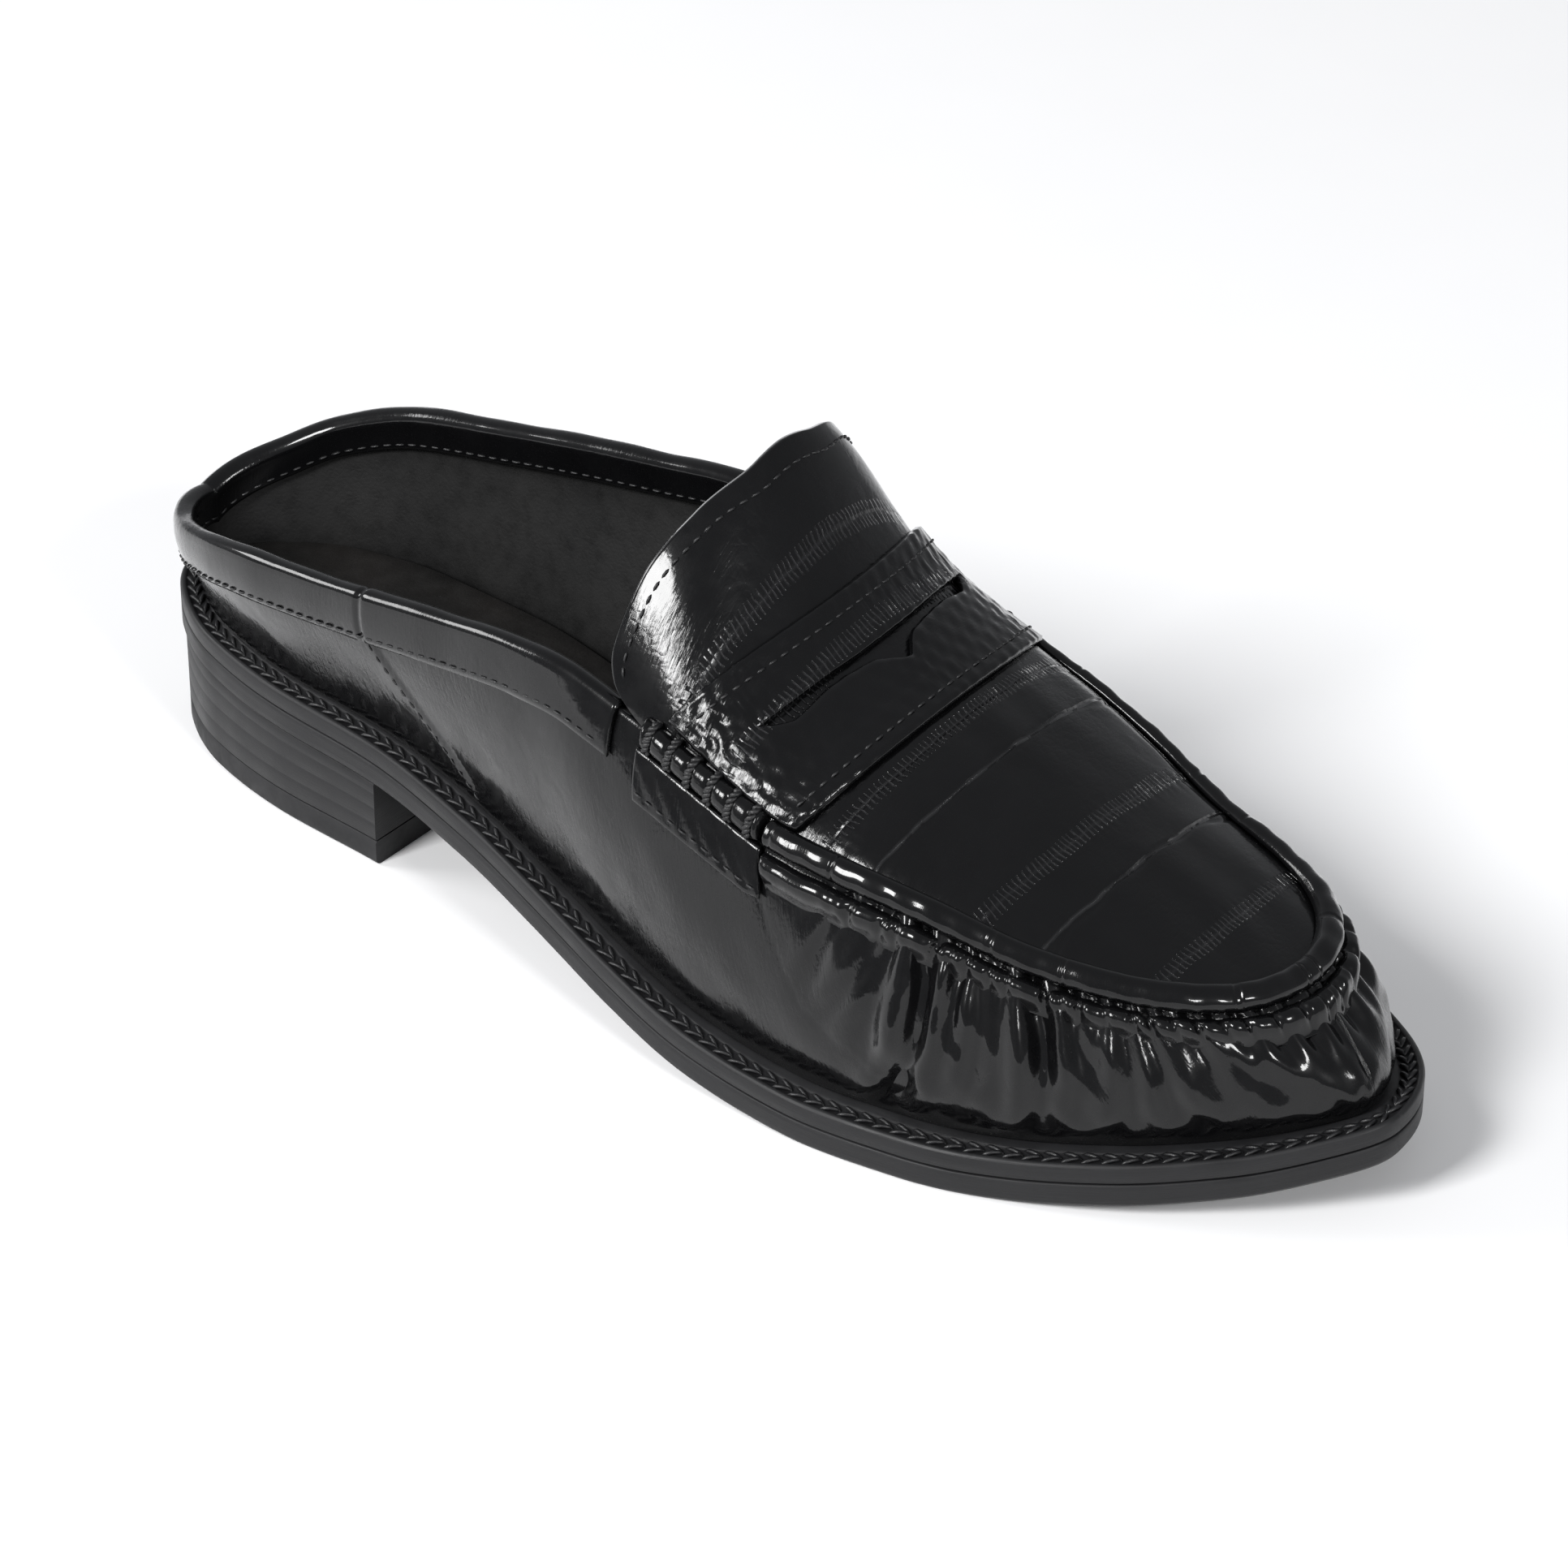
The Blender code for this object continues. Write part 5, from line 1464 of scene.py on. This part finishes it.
def pressed(f, flat, below):
    """Thin lines across the apron, some with ticks, as a groove and a painted highlight: the base colour is lightened
    along them where the groove edges would catch the light.
    """
    axes = f.node("ShaderNodeSeparateXYZ", Vector=flat)
    across = f.math("SUBTRACT", axes.outputs["X"], CENTRE + 0.002)
    bowed = f.math("ADD", axes.outputs["Y"], f.math("MULTIPLY", f.math("MULTIPLY", across, across), -2.6))
    shaken = f.math("ADD", bowed, f.math("MULTIPLY", f.noise(flat, 160.0, 2.0), 0.0009))
    phase = f.math("ADD", f.math("MULTIPLY", across, 5600.0), f.math("MULTIPLY", f.noise(flat, 110.0, 2.0), 16.0))
    teeth = f.span(f.math("SINE", phase), 0.45, 0.85, 0.0, 1.0)
    total = None
    for row in range(len(PRESS_LINES["place"])):
        away = f.math("ABSOLUTE", f.math("SUBTRACT", shaken, LENGTH * (0.5 - PRESS_LINES["place"][row]) + 0.00045))
        line = f.math("MULTIPLY", f.span(away, 0.0, PRESS_WIDTH, 1.0, 0.0), PRESS_LINES["depth"][row])
        ticks = f.math("MULTIPLY", f.span(away, TICK_REACH * 0.45, TICK_REACH * 0.8, 1.0, 0.0), teeth)
        ticks = f.math("MULTIPLY", ticks, PRESS_LINES["ticks"][row])
        both = f.math("MAXIMUM", line, ticks)
        total = both if total is None else f.math("MAXIMUM", total, both)
    # Painted highlight: the base colour is mixed towards pale grey along the lines and ticks, standing in for light
    # caught on the groove edges.
    shade = f.node("ShaderNodeMix", {"data_type": "RGBA"}, i0=f.math("MULTIPLY", total, 0.16))
    f.tree.links.new(f.shader.inputs["Base Color"].links[0].from_socket, shade.inputs[6])
    shade.inputs[7].default_value = (0.10, 0.10, 0.105, 1.0)
    f.link(shade.outputs[2], "Base Color")
    return f.bump(f.math("MULTIPLY", total, -1.0), 1.0, 0.00035, below)


def product(self, first, second):
    return self.node("ShaderNodeMath", {"operation": "MULTIPLY"}, i0=first, i1=second).outputs[0]


def noise_vector(self, vector, reach):
    """The coordinates shaken by a noise."""
    shake = self.node("ShaderNodeTexNoise", Vector=vector, Scale=240.0, Detail=2.0)
    scaled = self.node("ShaderNodeVectorMath", {"operation": "SCALE"}, i0=shake.outputs["Color"])
    scaled.inputs["Scale"].default_value = reach
    return self.node("ShaderNodeVectorMath", {"operation": "ADD"}, i0=vector, i1=scaled.outputs[0]).outputs[0]


Finish.product = product
Finish.noise_vector = noise_vector


def matte(name, dark, light, rough, grain, depth):
    """Plain soft leather or lining with a fine grain."""
    f = Finish(name, Specular_IOR_Level=0.35)
    flat = f.place()
    f.link(f.mix(f.span(f.noise(flat, 60.0, 4.0), 0.3, 0.7, 0.0, 1.0), dark, light), "Base Color")
    f.link(f.span(f.noise(flat, 300.0, 3.0), 0.3, 0.7, *rough), "Roughness")
    cells = f.cells(flat, grain)
    f.link(f.bump(f.noise(flat, grain * 1.7, 3.0), 0.4, depth, f.bump(cells, 0.5, depth)), "Normal")
    return f.made


def edge_finish():
    """Dark painted sole edge with fine lines along it."""
    f = Finish("sole_edge_paint", Specular_IOR_Level=0.32)
    lines = f.noise(f.flow((60.0, 5200.0, 400.0)), 1.0, 4.0, 0.6)
    flat = f.place()
    patch = f.noise(flat, 90.0, 4.0)
    f.link(f.mix(f.product(lines, patch), (0.006, 0.006, 0.0065), (0.024, 0.024, 0.026)), "Base Color")
    f.link(f.span(patch, 0.3, 0.7, 0.40, 0.58), "Roughness")
    f.link(f.bump(f.noise(flat, 1400.0, 3.0), 0.25, 0.00006, f.bump(lines, 0.5, 0.00010)), "Normal")
    return f.made


def thread_finish(name, colour):
    f = Finish(name, Specular_IOR_Level=0.5)
    flat = f.place()
    f.link(f.mix(f.noise(flat, 900.0, 2.0), colour, tuple(2.5 * part for part in colour)), "Base Color")
    f.link(f.span(f.noise(flat, 2200.0, 2.0), 0.3, 0.7, 0.35, 0.55), "Roughness")
    wave = f.noise(flat, 5200.0, 2.0)
    f.link(f.bump(wave, 0.5, 0.00008), "Normal")
    return f.made


def make_looks():
    return {
        "patent": patent("patent_leather", 1.0),
        "trim": patent("patent_trim", 0.6),
        # Apron and strap finish: pressed lines whose base colour is lightened as a painted highlight.
        "pressed_with_painted_highlight": patent("patent_printed", 1.0, True),
        "lining": matte("lining_leather", (0.0035, 0.0035, 0.0036), (0.0075, 0.0073, 0.0072), (0.50, 0.70), 900.0, 0.00008),
        "insole": matte("insole_leather", (0.0045, 0.0042, 0.0040), (0.012, 0.0105, 0.0095), (0.45, 0.66), 700.0, 0.00010),
        "edge": edge_finish(),
        "rubber": matte("heel_rubber", (0.008, 0.008, 0.009), (0.018, 0.018, 0.019), (0.55, 0.75), 500.0, 0.00008),
        "thread": thread_finish("black_thread", (0.0030, 0.0030, 0.0034)),
        "welt_thread": thread_finish("welt_thread", (0.0035, 0.0035, 0.0040)),
    }


def make_stage():
    """Plain pale floor."""
    f = Finish("paper_floor", Specular_IOR_Level=0.2)
    flat = f.place()
    f.link(f.mix(f.noise(flat, 3.0, 2.0), (0.86, 0.86, 0.865), (0.88, 0.88, 0.885)), "Base Color")
    f.link(f.span(f.noise(flat, 40.0, 2.0), 0.3, 0.7, 0.62, 0.70), "Roughness")
    mesh = bpy.data.meshes.new("floor")
    half = 4.0
    mesh.from_pydata([(-half, -half, 0.0), (half, -half, 0.0), (half, half, 0.0), (-half, half, 0.0)], [], [(0, 1, 2, 3)])
    mesh.materials.append(f.made)
    floor = bpy.data.objects.new("floor", mesh)
    bpy.context.scene.collection.objects.link(floor)


def add_light(name, place, target, size, power, colour=(1.0, 1.0, 1.0)):
    data = bpy.data.lights.new(name, "AREA")
    data.shape = "RECTANGLE"
    data.size, data.size_y = size
    data.energy = power
    data.color = colour
    made = bpy.data.objects.new(name, data)
    bpy.context.scene.collection.objects.link(made)
    made.location = place
    made.rotation_mode = "QUATERNION"
    made.rotation_quaternion = (Vector(target) - Vector(place)).to_track_quat("-Z", "Y")


def make_lights():
    world = bpy.data.worlds.new("studio")
    world.use_nodes = True
    world.node_tree.nodes["Background"].inputs["Color"].default_value = (0.94, 0.96, 1.0, 1.0)
    world.node_tree.nodes["Background"].inputs["Strength"].default_value = 0.30
    bpy.context.scene.world = world
    bpy.context.scene.view_settings.view_transform = "Standard"
    add_light("softbox_left", (-1.75, 0.36, 1.50), (0.0, 0.0, 0.03), (0.62, 0.80), 56.0)
    add_light("softbox_back", (-0.75, 1.90, 1.10), (0.0, 0.0, 0.0), (0.90, 0.60), 22.0)
    add_light("softbox_front", (-0.70, -2.00, 1.30), (0.0, 0.0, 0.0), (0.50, 0.50), 26.0)


def make_camera():
    """Camera at the photograph's angle."""
    data = bpy.data.cameras.new("camera")
    data.sensor_width = 36.0
    data.lens = 132.69
    data.shift_x, data.shift_y = 0.0149, 0.0307
    data.clip_start, data.clip_end = 0.05, 20.0
    camera = bpy.data.objects.new("camera", data)
    bpy.context.scene.collection.objects.link(camera)
    back = Vector((-0.6583, -0.5159, 0.5481)).normalized()
    camera.location = Vector((CENTRE, 0.0, 0.020)) + back * 1.02858
    camera.rotation_mode = "QUATERNION"
    camera.rotation_quaternion = back.to_track_quat("Z", "Y")
    bpy.context.scene.camera = camera


SKIN = Skin()
LOOK = make_looks()
make_vamp()
make_apron()
make_lining()
make_ridges()
for side in SIDES:
    make_rolls(side)
    make_tab(side)
make_strap()
make_binding()
tongue_stitches()
counter_stitches()
make_insole()
make_sole()
welt_stitches()
make_stage()
make_lights()
make_camera()
